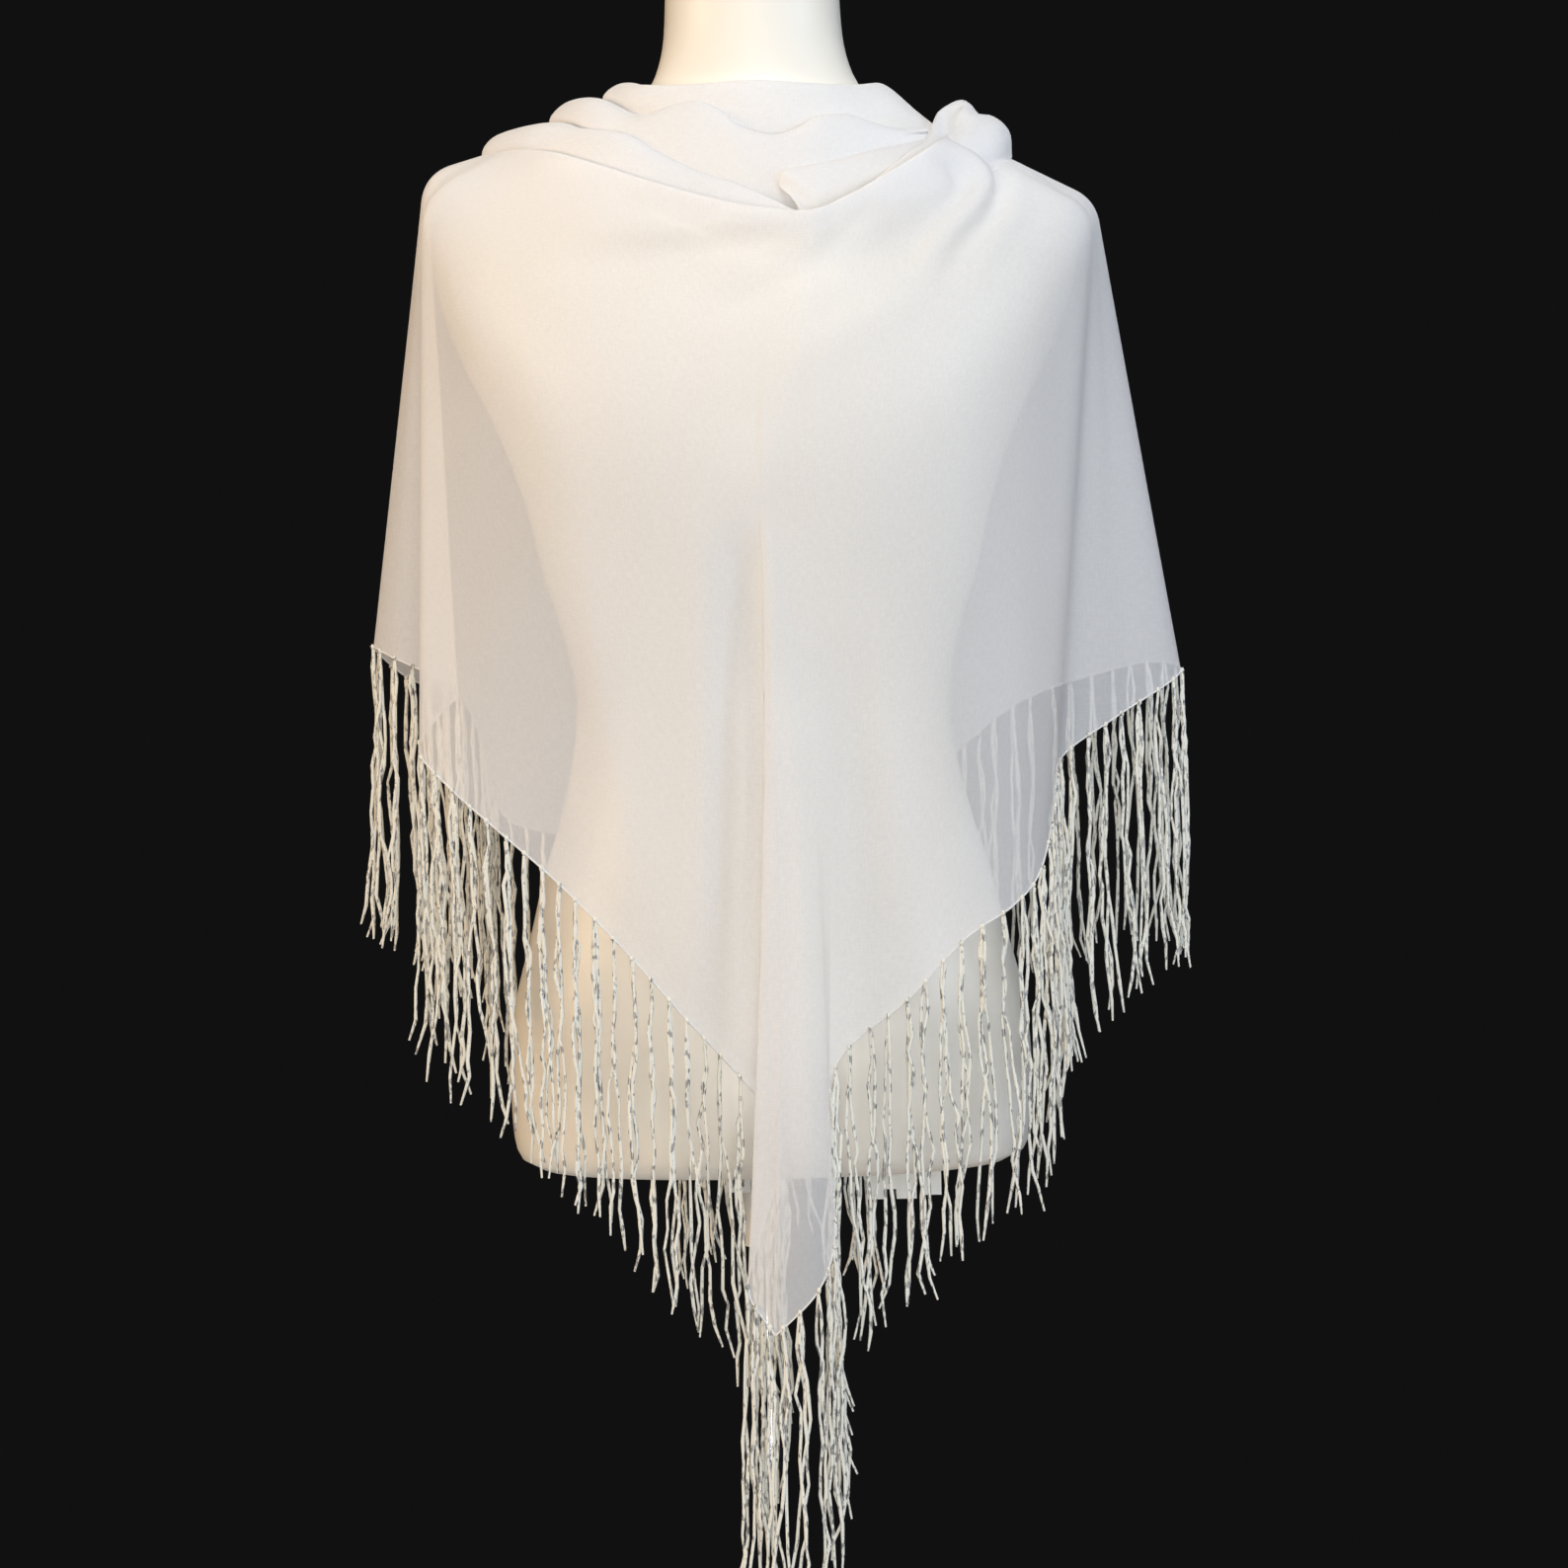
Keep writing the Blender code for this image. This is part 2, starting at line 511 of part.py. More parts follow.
def make_fringe(name, hem, facing, finish, first_number):
    """A narrow strip along a hem, parted from the cloth, with a strand grown from it at every knot."""
    along = unit(np.gradient(hem, axis=0))
    facing = unit(facing - along * (facing * along).sum(axis=1)[:, None])
    away = np.cross(along, facing)
    lines = np.stack((hem + facing * CLOTH_WALL / 2, facing, away), axis=1)
    lines[0, 0] += along[0] * SEAM_TRIM
    lines[-1, 0] -= along[-1] * SEAM_TRIM
    stations, roots = [], []
    for line, beside in zip(lines, lines[1:]):
        step = beside[0] - line[0]
        length = float(np.linalg.norm(step))
        strands = round(length / FRINGE_PITCH)
        if length < 0.6 * FRINGE_PITCH or abs(step[2]) > STEEP * length:
            strands = 0
        stations.append(line)
        for strand in range(strands):
            share = (strand + 0.35) / strands
            roots.append(len(stations))
            for place in (share, share + STRAND_WIDTH / length):
                stations.append(line + (beside - line) * place)
    stations.append(lines[-1])
    mesh = bmesh.new()
    rings = []
    for middle, facing_here, away_here in stations:
        top = middle + away_here * STRIP_BELOW_HEM
        low = top + away_here * STRIP_HEIGHT
        aside = facing_here * STRAND_DEPTH / 2
        corners = (top - aside, top + aside, low + aside, low - aside)
        rings.append([mesh.verts.new(corner) for corner in corners])
    for number, (ring, beside) in enumerate(zip(rings, rings[1:])):
        for k in range(4):
            corners = (ring[k], ring[(k + 1) % 4], beside[(k + 1) % 4], beside[k])
            if k == 2 and number in roots:
                grow_strand(mesh, corners, stations[number], first_number + roots.index(number))
            else:
                mesh.faces.new(corners)
    mesh.faces.new(rings[0][::-1])
    mesh.faces.new(rings[-1])
    bmesh.ops.recalc_face_normals(mesh, faces=mesh.faces)
    data = bpy.data.meshes.new(name)
    mesh.to_mesh(data)
    mesh.free()
    add_object(name, data, finish)
    return first_number + len(roots)


def grow_strand(mesh, corners, station, number):
    """One strand, drawn down from four corners of its strip, with a slight sway of its own."""
    facing, away = station[1] * (1, 1, 0), station[2]
    facing /= np.linalg.norm(facing)
    aside, depth = np.cross(UP, facing) * STRAND_WIDTH / 2, facing * STRAND_DEPTH / 2
    root = sum((np.array(corner.co) for corner in corners), np.zeros(3)) / 4
    root = root + away * STRIP_HEIGHT - UP * STRIP_HEIGHT / 2
    length = FRINGE_DROP * (0.93 + 0.11 * math.sin(number * 2.3) ** 2)
    ring = corners
    for step in range(STRAND_STEPS + 1):
        share = step / STRAND_STEPS
        sway = STRAND_SWAY * math.sin(number * 1.9 + step * 2.1) * share
        swing = STRAND_SWAY * 0.5 * math.sin(number * 2.7 + step * 1.3) * share
        middle = root + (sway, swing, -length * share)
        places = (depth - aside, -depth - aside, aside - depth, aside + depth)
        below = [mesh.verts.new(middle + place) for place in places]
        for k in range(4):
            mesh.faces.new((ring[k], ring[(k + 1) % 4], below[(k + 1) % 4], below[k]))
        ring = below
    mesh.faces.new(ring)


def make_fringes(stretches, yarn):
    """Fringe along the hems, apart from the hidden layer of the pleat."""
    number = 0
    for name, (grid, columns) in stretches.items():
        hem, facing = grid[:, -1], outwards(grid)[:, -1]
        runs = {"fringe_" + name: slice(None)}
        if name == "front":
            runs = {
                "fringe_front_left": slice(None, columns["pleat_start"] + 1),
                "fringe_front_right": slice(columns["pleat_edge"], None),
            }
        for fringe, run in runs.items():
            number = make_fringe(fringe, hem[run], facing[run], yarn, number)


def make_form(gloss):
    """The limbless trunk and neck, as rings of one closed skin."""
    mesh = bmesh.new()
    rings = []
    for row in FORM_MM:
        level = row.height * MM
        power = float(form_power(level))
        ring = []
        for k in range(FORM_SIDES):
            angle = 2 * math.pi * k / FORM_SIDES
            cosine, sine = math.cos(angle), math.sin(angle)
            depth = (row.back if sine > 0 else row.front) * MM
            x = row.half_width * MM * math.copysign(abs(cosine) ** (2 / power), cosine)
            y = depth * math.copysign(abs(sine) ** (2 / power), sine)
            ring.append(mesh.verts.new((x + float(form_lean(level)), y, level)))
        rings.append(ring)
    for ring, above in zip(rings, rings[1:]):
        for k in range(FORM_SIDES):
            beside = (k + 1) % FORM_SIDES
            mesh.faces.new((ring[k], ring[beside], above[beside], above[k]))
    mesh.faces.new(rings[0][::-1])
    mesh.faces.new(rings[-1])
    data = bpy.data.meshes.new("dress_form")
    mesh.to_mesh(data)
    mesh.free()
    add_object("dress_form", data, gloss, 50)


def box_mesh(mesh, low, high):
    size = Vector(high) - Vector(low)
    middle = (Vector(high) + Vector(low)) / 2
    place = Matrix.Translation(middle) @ Matrix.Diagonal((*size, 1.0))
    return bmesh.ops.create_cube(mesh, size=1.0, matrix=place)


def turned(name, outline, place, finish):
    """A solid of revolution from (radius, height) places, bottom to top, that closes on the axis."""
    mesh = bmesh.new()
    verts = [mesh.verts.new((radius, 0, height)) for radius, height in outline]
    edges = [mesh.edges.new(pair) for pair in zip(verts, verts[1:])]
    bmesh.ops.spin(
        mesh, geom=verts + edges, axis=(0, 0, 1), cent=(0, 0, 0), steps=ROUND_SIDES,
        angle=2 * math.pi, use_merge=True, use_duplicate=False,
    )
    bmesh.ops.remove_doubles(mesh, verts=mesh.verts, dist=0.00001)
    bmesh.ops.recalc_face_normals(mesh, faces=mesh.faces)
    data = bpy.data.meshes.new(name)
    mesh.to_mesh(data)
    mesh.free()
    made = add_object(name, data, finish)
    made.location = place
    return made


def make_stand(chrome, plastic):
    form_bottom = FORM_MM[0].height * MM
    boss_inside = POLE_RADIUS + SEAM
    boss_top = BASE_HEIGHT + BOSS_HEIGHT
    turned(
        "stand_base",
        (
            (0, 0), (BASE_RADIUS - BASE_EDGE, 0), (BASE_RADIUS, BASE_EDGE),
            (BASE_RADIUS, BASE_HEIGHT - BASE_EDGE), (BASE_RADIUS - BASE_EDGE, BASE_HEIGHT),
            (BOSS_RADIUS + BASE_EDGE, BASE_HEIGHT), (BOSS_RADIUS, BASE_HEIGHT + BASE_EDGE),
            (BOSS_RADIUS, boss_top - BASE_EDGE), (BOSS_RADIUS - BASE_EDGE, boss_top),
            (boss_inside, boss_top), (boss_inside, BASE_HEIGHT), (0, BASE_HEIGHT),
        ),
        (POLE_X, 0, 0),
        chrome,
    )
    plate_low = form_bottom - SEAM - BRACKET_PLATE
    pole_low, pole_high = BASE_HEIGHT + SEAM, plate_low - SEAM
    turned(
        "stand_pole",
        ((0, pole_low), (POLE_RADIUS, pole_low), (POLE_RADIUS, pole_high), (0, pole_high)),
        (POLE_X, 0, 0),
        chrome,
    )
    make_bracket(plastic, form_bottom, plate_low)


def make_bracket(plastic, form_bottom, plate_low):
    """The plate under the form: a socket for the pole, and the lugs at its ends."""
    mesh = bmesh.new()
    half = BRACKET_DEPTH / 2
    box_mesh(mesh, (BRACKET_LEFT, -half, plate_low), (BRACKET_RIGHT, half, form_bottom - SEAM))
    data = bpy.data.meshes.new("form_bracket")
    mesh.to_mesh(data)
    mesh.free()
    bracket = add_object("form_bracket", data, plastic, 30)
    cutters = []
    for box in BRACKET_BOXES_MM:
        low = (box.left * MM, box.front * MM, form_bottom - box.low * MM)
        high = (box.right * MM, box.back * MM, form_bottom - box.high * MM)
        cutters.append((helper_box(box.name, low, high), box.operation))
    bore = POLE_RADIUS + SEAM
    socket_low = plate_low - SOCKET_DROP
    socket = helper_round("socket", bore + SOCKET_WALL, socket_low, plate_low + SOCKET_OVERLAP)
    cutters.append((socket, "UNION"))
    cutters.append((helper_round("socket_bore", bore, socket_low - BORE_BELOW, plate_low), "DIFFERENCE"))
    for helper, operation in cutters:
        cut = bracket.modifiers.new(helper.name, "BOOLEAN")
        cut.operation = operation
        cut.solver = "EXACT"
        cut.object = helper


def hide_helper(name, mesh):
    data = bpy.data.meshes.new(name)
    mesh.to_mesh(data)
    mesh.free()
    made = bpy.data.objects.new(name, data)
    bpy.context.scene.collection.objects.link(made)
    made.hide_render = True
    made.display_type = "WIRE"
    return made


def helper_box(name, low, high):
    mesh = bmesh.new()
    box_mesh(mesh, low, high)
    return hide_helper(name, mesh)


def helper_round(name, radius, low, high):
    mesh = bmesh.new()
    place = Matrix.Translation((POLE_X, 0, (low + high) / 2))
    bmesh.ops.create_cone(
        mesh, cap_ends=True, segments=ROUND_SIDES, radius1=radius, radius2=radius,
        depth=high - low, matrix=place,
    )
    return hide_helper(name, mesh)


def main():
    for old in list(bpy.data.objects):
        bpy.data.objects.remove(old)
    chiffon = material("chiffon_white", (0.86, 0.86, 0.87), 0.8, alpha=0.85)
    yarn = material("fringe_yarn", (0.82, 0.81, 0.72), 0.5)
    gloss = material("form_gloss", (0.84, 0.81, 0.74), 0.25)
    plastic = material("bracket_plastic", (0.80, 0.80, 0.78), 0.4)
    chrome = material("chrome", (0.8, 0.8, 0.8), 0.08, metallic=1.0)
    make_form(gloss)
    make_stand(chrome, plastic)
    stretches = make_cloth(chiffon)
    make_cowl(chiffon)
    make_fringes(stretches, yarn)
    for made in bpy.data.objects:
        made.location.x -= POLE_X


main()
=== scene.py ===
import math
import random

import bmesh
import bpy
import numpy as np
from mathutils import Matrix, Quaternion, Vector


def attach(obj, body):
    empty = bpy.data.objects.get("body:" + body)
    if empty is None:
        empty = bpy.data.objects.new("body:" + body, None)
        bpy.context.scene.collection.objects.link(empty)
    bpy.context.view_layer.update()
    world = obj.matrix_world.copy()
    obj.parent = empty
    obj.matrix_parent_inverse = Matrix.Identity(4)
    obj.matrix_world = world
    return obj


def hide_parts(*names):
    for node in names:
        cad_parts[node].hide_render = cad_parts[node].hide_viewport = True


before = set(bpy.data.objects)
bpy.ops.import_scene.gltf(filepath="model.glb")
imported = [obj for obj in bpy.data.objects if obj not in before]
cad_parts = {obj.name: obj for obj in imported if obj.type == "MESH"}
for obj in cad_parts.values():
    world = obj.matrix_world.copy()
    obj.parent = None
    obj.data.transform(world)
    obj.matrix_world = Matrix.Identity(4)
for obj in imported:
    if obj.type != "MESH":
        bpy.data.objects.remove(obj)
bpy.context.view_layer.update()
print("frame loaded")

mm = 0.001
formRightOfPole = 5  # mm, the form's waist stands this far from the pole's axis
weldWithin = 0.01 * mm  # points nearer than this are one point


def linearColour(hexCode):  # sRGB hex to linear
    parts = [int(hexCode[k:k + 2], 16) / 255 for k in (1, 3, 5)]
    return [p / 12.92 if p <= 0.04045 else ((p + 0.055) / 1.055) ** 2.4 for p in parts] + [1.0]


def setInputs(tree, node, inputs):  # plain values are set, and outputs of other nodes are linked
    for name, value in inputs.items():
        if isinstance(value, bpy.types.NodeSocket):
            tree.links.new(value, node.inputs[name])
        else:
            node.inputs[name].default_value = value


def addNode(tree, kind, inputs, **settings):  # one node with its values, links and settings
    made = tree.nodes.new(kind)
    for name, value in settings.items():
        setattr(made, name, value)
    setInputs(tree, made, inputs)
    return made


def newMaterial(name, settings):  # a Principled material with its plain values set
    made = bpy.data.materials.new(name)
    made.use_nodes = True
    shader = made.node_tree.nodes["Principled BSDF"]
    setInputs(made.node_tree, shader, settings)
    return made, made.node_tree, shader


# Two tones that mingle in patches of a real size. On a Mix node the sockets 6 and 7 are its colours and
# 2 is the mixed one.
def mottle(tree, size, detail, dull, bright):
    here = addNode(tree, "ShaderNodeTexCoord", {}).outputs["Object"]
    noise = {"Vector": here, "Scale": 1 / size, "Detail": detail}
    patches = addNode(tree, "ShaderNodeTexNoise", noise).outputs["Fac"]
    tones = {"Factor": patches, 6: linearColour(dull), 7: linearColour(bright)}
    tone = addNode(tree, "ShaderNodeMix", tones, data_type="RGBA").outputs[2]
    return here, patches, tone


# A material that varies in patches: its plain values, its two tones, and where its look gives them a
# range of roughness, a relief, and a finer unevenness for that relief.
def makePatchy(name, look):
    made, tree, shader = newMaterial(name, look["plain"])
    here, patches, tone = mottle(tree, look["patch"], look["detail"], look["dull"], look["bright"])
    inputs = {"Base Color": tone}
    if "roughness" in look:
        rough = addNode(tree, "ShaderNodeMapRange", {"Value": patches, **look["roughness"]})
        inputs["Roughness"] = rough.outputs["Result"]
    if "peel" in look:
        peel = {"Vector": here, "Scale": 1 / look["peel"], "Detail": 2.0}
        patches = addNode(tree, "ShaderNodeTexNoise", peel).outputs["Fac"]
    if "relief" in look:
        relief = {"Height": patches, **look["relief"]}
        inputs["Normal"] = addNode(tree, "ShaderNodeBump", relief).outputs["Normal"]
    setInputs(tree, shader, inputs)
    return made


# Polyester crepe chiffon, woven from twisted filament: matt, off-white, and open enough that a
# second layer or the form shows through it.
chiffonLook = {
    "plain": {"Roughness": 0.86, "Sheen Weight": 0.25, "Sheen Roughness": 0.45, "IOR": 1.5},
    "dull": "#F0EFEE",
    "bright": "#F8F7F6",
    "patch": 90 * mm,
    "threadEvery": 1.0 * mm,  # the real threads are 0.3 mm apart, drawn coarser so that they show
    "slubLength": 5 * mm,
    "crepe": {"Distance": 0.1 * mm, "Strength": 0.35},
    # the share of the surface that the threads fill, from the noise of both threads together
    "cover": {"From Min": 0.7, "From Max": 1.3, "To Min": 0.61, "To Max": 0.67},
    # what is added to it at a height, where more and more layers lie under the one that shows
    "heaped": {"From Min": 1130 * mm, "From Max": 1205 * mm, "To Min": 0.0, "To Max": 0.31},
    "lightThrough": 0.32,
}


def makeChiffon():
    look = chiffonLook
    made, tree, shader = newMaterial("crepeChiffon", look["plain"])
    here, _, tone = mottle(tree, look["patch"], 3.0, look["dull"], look["bright"])
    cloth = addNode(tree, "ShaderNodeUVMap", {}, uv_map="clothMap")
    across, along = 1 / look["threadEvery"], 1 / look["slubLength"]
    streaks = []
    for scale in ((across, along, 1), (along, across, 1)):
        place = addNode(tree, "ShaderNodeMapping", {"Vector": cloth.outputs["UV"], "Scale": scale})
        noise = {"Vector": place.outputs["Vector"], "Scale": 1.0, "Detail": 2.0}
        streaks.append(addNode(tree, "ShaderNodeTexNoise", noise).outputs["Fac"])
    weave = addNode(tree, "ShaderNodeMath", dict(enumerate(streaks)), operation="ADD").outputs[0]
    cover = addNode(tree, "ShaderNodeMapRange", {"Value": weave, **look["cover"]})
    height = addNode(tree, "ShaderNodeSeparateXYZ", {"Vector": here}).outputs["Z"]
    rising = {"Value": height, **look["heaped"]}
    heaped = addNode(tree, "ShaderNodeMapRange", rising, interpolation_type="SMOOTHSTEP")
    layers = {0: cover.outputs["Result"], 1: heaped.outputs["Result"]}
    dense = addNode(tree, "ShaderNodeMath", layers, operation="ADD", use_clamp=True).outputs[0]
    crepe = addNode(tree, "ShaderNodeBump", {"Height": weave, **look["crepe"]})
    setInputs(tree, shader, {"Base Color": tone, "Normal": crepe.outputs["Normal"]})
    glow = addNode(tree, "ShaderNodeBsdfTranslucent", {"Color": tone})
    threads = addNode(
        tree, "ShaderNodeMixShader",
        {0: look["lightThrough"], 1: shader.outputs["BSDF"], 2: glow.outputs["BSDF"]},
    )
    holes = addNode(tree, "ShaderNodeBsdfTransparent", {})
    sheer = addNode(
        tree, "ShaderNodeMixShader",
        {0: dense, 1: holes.outputs["BSDF"], 2: threads.outputs["Shader"]},
    )
    setInputs(tree, tree.nodes["Material Output"], {"Surface": sheer.outputs["Shader"]})
    return made


# Acrylic and lurex ladder yarn, knitted: greenish cream with flecks of bare silver foil.
yarnLook = {
    "plain": {"Sheen Weight": 0.15, "IOR": 1.5},
    "dull": "#D3D1C2",
    "bright": "#F0EEE4",
    "foil": "#9D9C98",
    "ply": 0.9 * mm,
    "plies": {"Distance": 0.4 * mm, "Strength": 0.8},
    "fleckWide": 2.0 * mm,
    "fleckLong": 5.5 * mm,
    "flecks": {"From Min": 0.55, "From Max": 0.61, "To Min": 0.0, "To Max": 1.0},
    "metal": {"To Min": 0.0, "To Max": 0.85},
    "roughness": {"To Min": 0.62, "To Max": 0.32},  # from cream to foil
}


def makeYarn():
    look = yarnLook
    made, tree, shader = newMaterial("lurexLadderYarn", look["plain"])
    here, plies, cream = mottle(tree, look["ply"], 3.0, look["dull"], look["bright"])
    scale = (1 / look["fleckWide"], 1 / look["fleckWide"], 1 / look["fleckLong"])
    stretch = addNode(tree, "ShaderNodeMapping", {"Vector": here, "Scale": scale})
    noise = {"Vector": stretch.outputs["Vector"], "Scale": 1.0, "Detail": 2.0}
    flecks = addNode(tree, "ShaderNodeTexNoise", noise).outputs["Fac"]
    foil = addNode(tree, "ShaderNodeMapRange", {"Value": flecks, **look["flecks"]}).outputs["Result"]
    tones = {"Factor": foil, 6: cream, 7: linearColour(look["foil"])}
    tone = addNode(tree, "ShaderNodeMix", tones, data_type="RGBA")
    metal = addNode(tree, "ShaderNodeMapRange", {"Value": foil, **look["metal"]})
    polish = addNode(tree, "ShaderNodeMapRange", {"Value": foil, **look["roughness"]})
    bump = addNode(tree, "ShaderNodeBump", {"Height": plies, **look["plies"]})
    setInputs(tree, shader, {
        "Base Color": tone.outputs[2], "Metallic": metal.outputs["Result"],
        "Roughness": polish.outputs["Result"], "Normal": bump.outputs["Normal"],
    })
    return made


# The rolled hem is the same chiffon in four layers with a whip stitch, so it is denser and shinier.
hemLook = {
    "plain": {"Roughness": 0.6, "Sheen Weight": 0.2, "IOR": 1.5},
    "dull": "#C8C7C5", "bright": "#E9E7E3",
    "patch": 2.2 * mm, "detail": 2.0,  # the length of a stitch
    "relief": {"Distance": 0.3 * mm, "Strength": 0.7},
}
# Gloss-lacquered fibreglass: cream, a hard coat over a slightly uneven body.
formLook = {
    "plain": {"Coat Weight": 0.25, "Coat Roughness": 0.22, "IOR": 1.5},
    "dull": "#E7E0D2", "bright": "#EEEADF",
    "patch": 140 * mm, "detail": 4.0,
    "roughness": {"From Min": 0.3, "From Max": 0.7, "To Min": 0.36, "To Max": 0.48},
    "peel": 11 * mm, "relief": {"Distance": 0.25 * mm, "Strength": 0.3},
}
# Injection-moulded ABS, with the fine spark texture of its mould.
bracketLook = {
    "plain": {"IOR": 1.53},
    "dull": "#E0DFD8", "bright": "#EDECE7",
    "patch": 0.9 * mm, "detail": 3.0,  # drawn coarser than the real 0.1 mm so that it shows
    "roughness": {"To Min": 0.38, "To Max": 0.56},
    "relief": {"Distance": 0.06 * mm, "Strength": 0.6},
}
# Chromed steel: a mirror with the dull patches that hands and dusting leave.
chromeLook = {
    "plain": {"Metallic": 1.0},
    "dull": "#C9C9CA", "bright": "#E3E4E6",
    "patch": 35 * mm, "detail": 5.0,
    "roughness": {"From Min": 0.35, "From Max": 0.7, "To Min": 0.05, "To Max": 0.16},
}
# Matt floor paint, a little worn.
floorLook = {
    "plain": {"Roughness": 0.7},
    "dull": "#D2D1CE", "bright": "#DAD9D6",
    "patch": 260 * mm, "detail": 3.0,
}

chiffon, yarn, hemThread = makeChiffon(), makeYarn(), makePatchy("rolledChiffonHem", hemLook)
formGloss = makePatchy("lacqueredFibreglass", formLook)
bracketPlastic = makePatchy("mouldedAbs", bracketLook)
chrome = makePatchy("polishedChrome", chromeLook)
floorPaint = makePatchy("mattFloorPaint", floorLook)
print("materials made")


# Shapes are worked out in millimetres round the form's own axis, and moved here to the frame.
def toFrame(places):
    return (np.asarray(places, float) + (formRightOfPole, 0, 0)) * mm


def smoothThrough(values, where, closed=False):  # a smooth curve through rows, read between them
    values = np.asarray(values, float)
    count = len(values)
    if closed:
        padded = values[np.arange(-1, count + 2) % count]
    else:
        padded = values[np.clip(np.arange(-1, count + 1), 0, count - 1)]
        padded[0], padded[-1] = 2 * values[0] - values[1], 2 * values[-1] - values[-2]
    gaps = np.sqrt(np.linalg.norm(np.diff(padded, axis=0), axis=1) + 1e-6)
    last = count if closed else count - 1
    start = np.minimum(np.floor(where).astype(int), last - 1)
    share = (where - start)[:, None]
    before, here, after, beyond = (padded[start + k] for k in range(4))
    gap0, gap1, gap2 = (gaps[start + k][:, None] for k in range(3))
    middle = (after - here) / gap1
    slopeHere = ((here - before) / gap0 - (after - before) / (gap0 + gap1) + middle) * gap1
    slopeAfter = (middle - (beyond - here) / (gap1 + gap2) + (beyond - after) / gap2) * gap1
    square, cube = share**2, share**3
    return (
        (2 * cube - 3 * square + 1) * here + (cube - 2 * square + share) * slopeHere
        + (3 * square - 2 * cube) * after + (cube - square) * slopeAfter
    )


def turnCorner(before, corner, after, reach, steps):  # rows of points round a soft corner
    wayIn, wayOut = before - corner, after - corner
    lengthIn = np.linalg.norm(wayIn, axis=1)[:, None]
    lengthOut = np.linalg.norm(wayOut, axis=1)[:, None]
    most = 0.45  # of the shorter side, so that two corners beside each other don't meet
    used = np.minimum(reach, most * np.minimum(lengthIn, lengthOut))
    start, end = corner + wayIn / lengthIn * used, corner + wayOut / lengthOut * used
    share = np.linspace(0, 1, steps)[:, None, None]
    return list((1 - share) ** 2 * start + 2 * share * (1 - share) * corner + share**2 * end)


def straightRun(start, end, steps):  # rows of points inside a straight stretch, without its ends
    return [start + (end - start) * (k + 1) / (steps + 1) for k in range(steps)]


def columnPlaces(lengths, spacing, closed=False):  # where columns stand, counted in rows of the table
    where = []
    for row, length in enumerate(lengths):
        steps = max(1, round(length / spacing))
        where += [row + k / steps for k in range(steps)]
    return np.array(where if closed else where + [float(len(lengths))])


def addPiece(name, mesh, material, smoothAngle=180):  # a finished bmesh becomes a piece of the object
    data = bpy.data.meshes.new(name)
    mesh.to_mesh(data)
    mesh.free()
    data.materials.append(material)
    data.shade_smooth()
    if smoothAngle < 180:
        data.set_sharp_from_angle(angle=math.radians(smoothAngle))
    made = bpy.data.objects.new(name, data)
    bpy.context.scene.collection.objects.link(made)
    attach(made, "root")
    return made


# A sheet starts as a flat grid, and each of its points moves to its place on the drape.
def sheetMesh(grid, closed=False):
    if closed:
        grid = np.concatenate((grid, grid[:1]))
    columns, levels = grid.shape[:2]
    places = toFrame(grid)
    across = np.linalg.norm(np.diff(places, axis=0), axis=2).mean(axis=1)
    along = np.concatenate(([0], np.cumsum(across)))
    steps = np.linalg.norm(np.diff(places, axis=1), axis=2)
    down = np.concatenate((np.zeros((columns, 1)), np.cumsum(steps, axis=1)), axis=1)
    mesh = bmesh.new()
    bmesh.ops.create_grid(mesh, x_segments=columns - 1, y_segments=levels - 1, size=1)
    clothMap = mesh.loops.layers.uv.new("clothMap")
    for vert in mesh.verts:
        column = round((vert.co.x + 1) / 2 * (columns - 1))
        level = round((1 - vert.co.y) / 2 * (levels - 1))
        vert.co = places[column, level]
        for loop in vert.link_loops:
            loop[clothMap].uv = (along[column], down[column, level])
    if closed:
        bmesh.ops.remove_doubles(mesh, verts=mesh.verts, dist=weldWithin)
    return mesh


formShape = {
    # height, half width, front, back: plan outlines of the trunk and neck, in mm
    "sections": (
        (605, 141, 88, 98), (608, 149, 96, 106), (616, 155, 101, 112), (650, 158, 104, 117),
        (700, 155, 104, 119), (745, 144, 100, 109), (782, 135, 96, 96), (817, 124, 91, 84),
        (853, 116, 87, 74), (889, 113, 87, 73), (926, 120, 94, 78), (962, 131, 105, 85),
        (1008, 142, 121, 93), (1052, 158, 126, 99), (1093, 178, 118, 102), (1130, 191, 105, 101),
        (1160, 195, 94, 96), (1180, 188, 85, 88), (1196, 172, 78, 80), (1210, 146, 71, 72),
        (1224, 115, 66, 65), (1238, 86, 61, 59), (1252, 66, 57, 55), (1275, 56, 54, 52),
        (1325, 52, 52, 51),
    ),
    "readEvery": 2.0,  # mm, how closely the smoothed sections are kept
    "sides": 96,
    "ringEvery": 6,  # mm
    "squareness": 2.25,  # power of the trunk's rounded outlines, where 2 is the neck's plain ellipse
    "neckFrom": 1190,
    "neckOver": 60,  # mm, the height over which the outlines turn from the trunk's to the neck's
    "neckLean": 2.5,  # mm, how far the neck stands to the right of the waist
    "leanFrom": 1100,
    "leanOver": 150,
    "topEdge": 3,  # mm, radius of the neck's top edge
    "edgeRings": 4,
    "sharpFrom": 50,  # degrees, edges that bend more than this are shaded as sharp
}


def formRows():  # the sections, smoothed and read every few millimetres
    rows = np.array(formShape["sections"], float)
    readings = 40 * len(rows)
    fine = smoothThrough(rows, np.linspace(0, len(rows) - 1, readings))
    heights = np.arange(rows[0, 0], rows[-1, 0] + 0.1, formShape["readEvery"])
    return np.column_stack([heights] + [np.interp(heights, fine[:, 0], fine[:, k]) for k in (1, 2, 3)])


smoothForm = formRows()


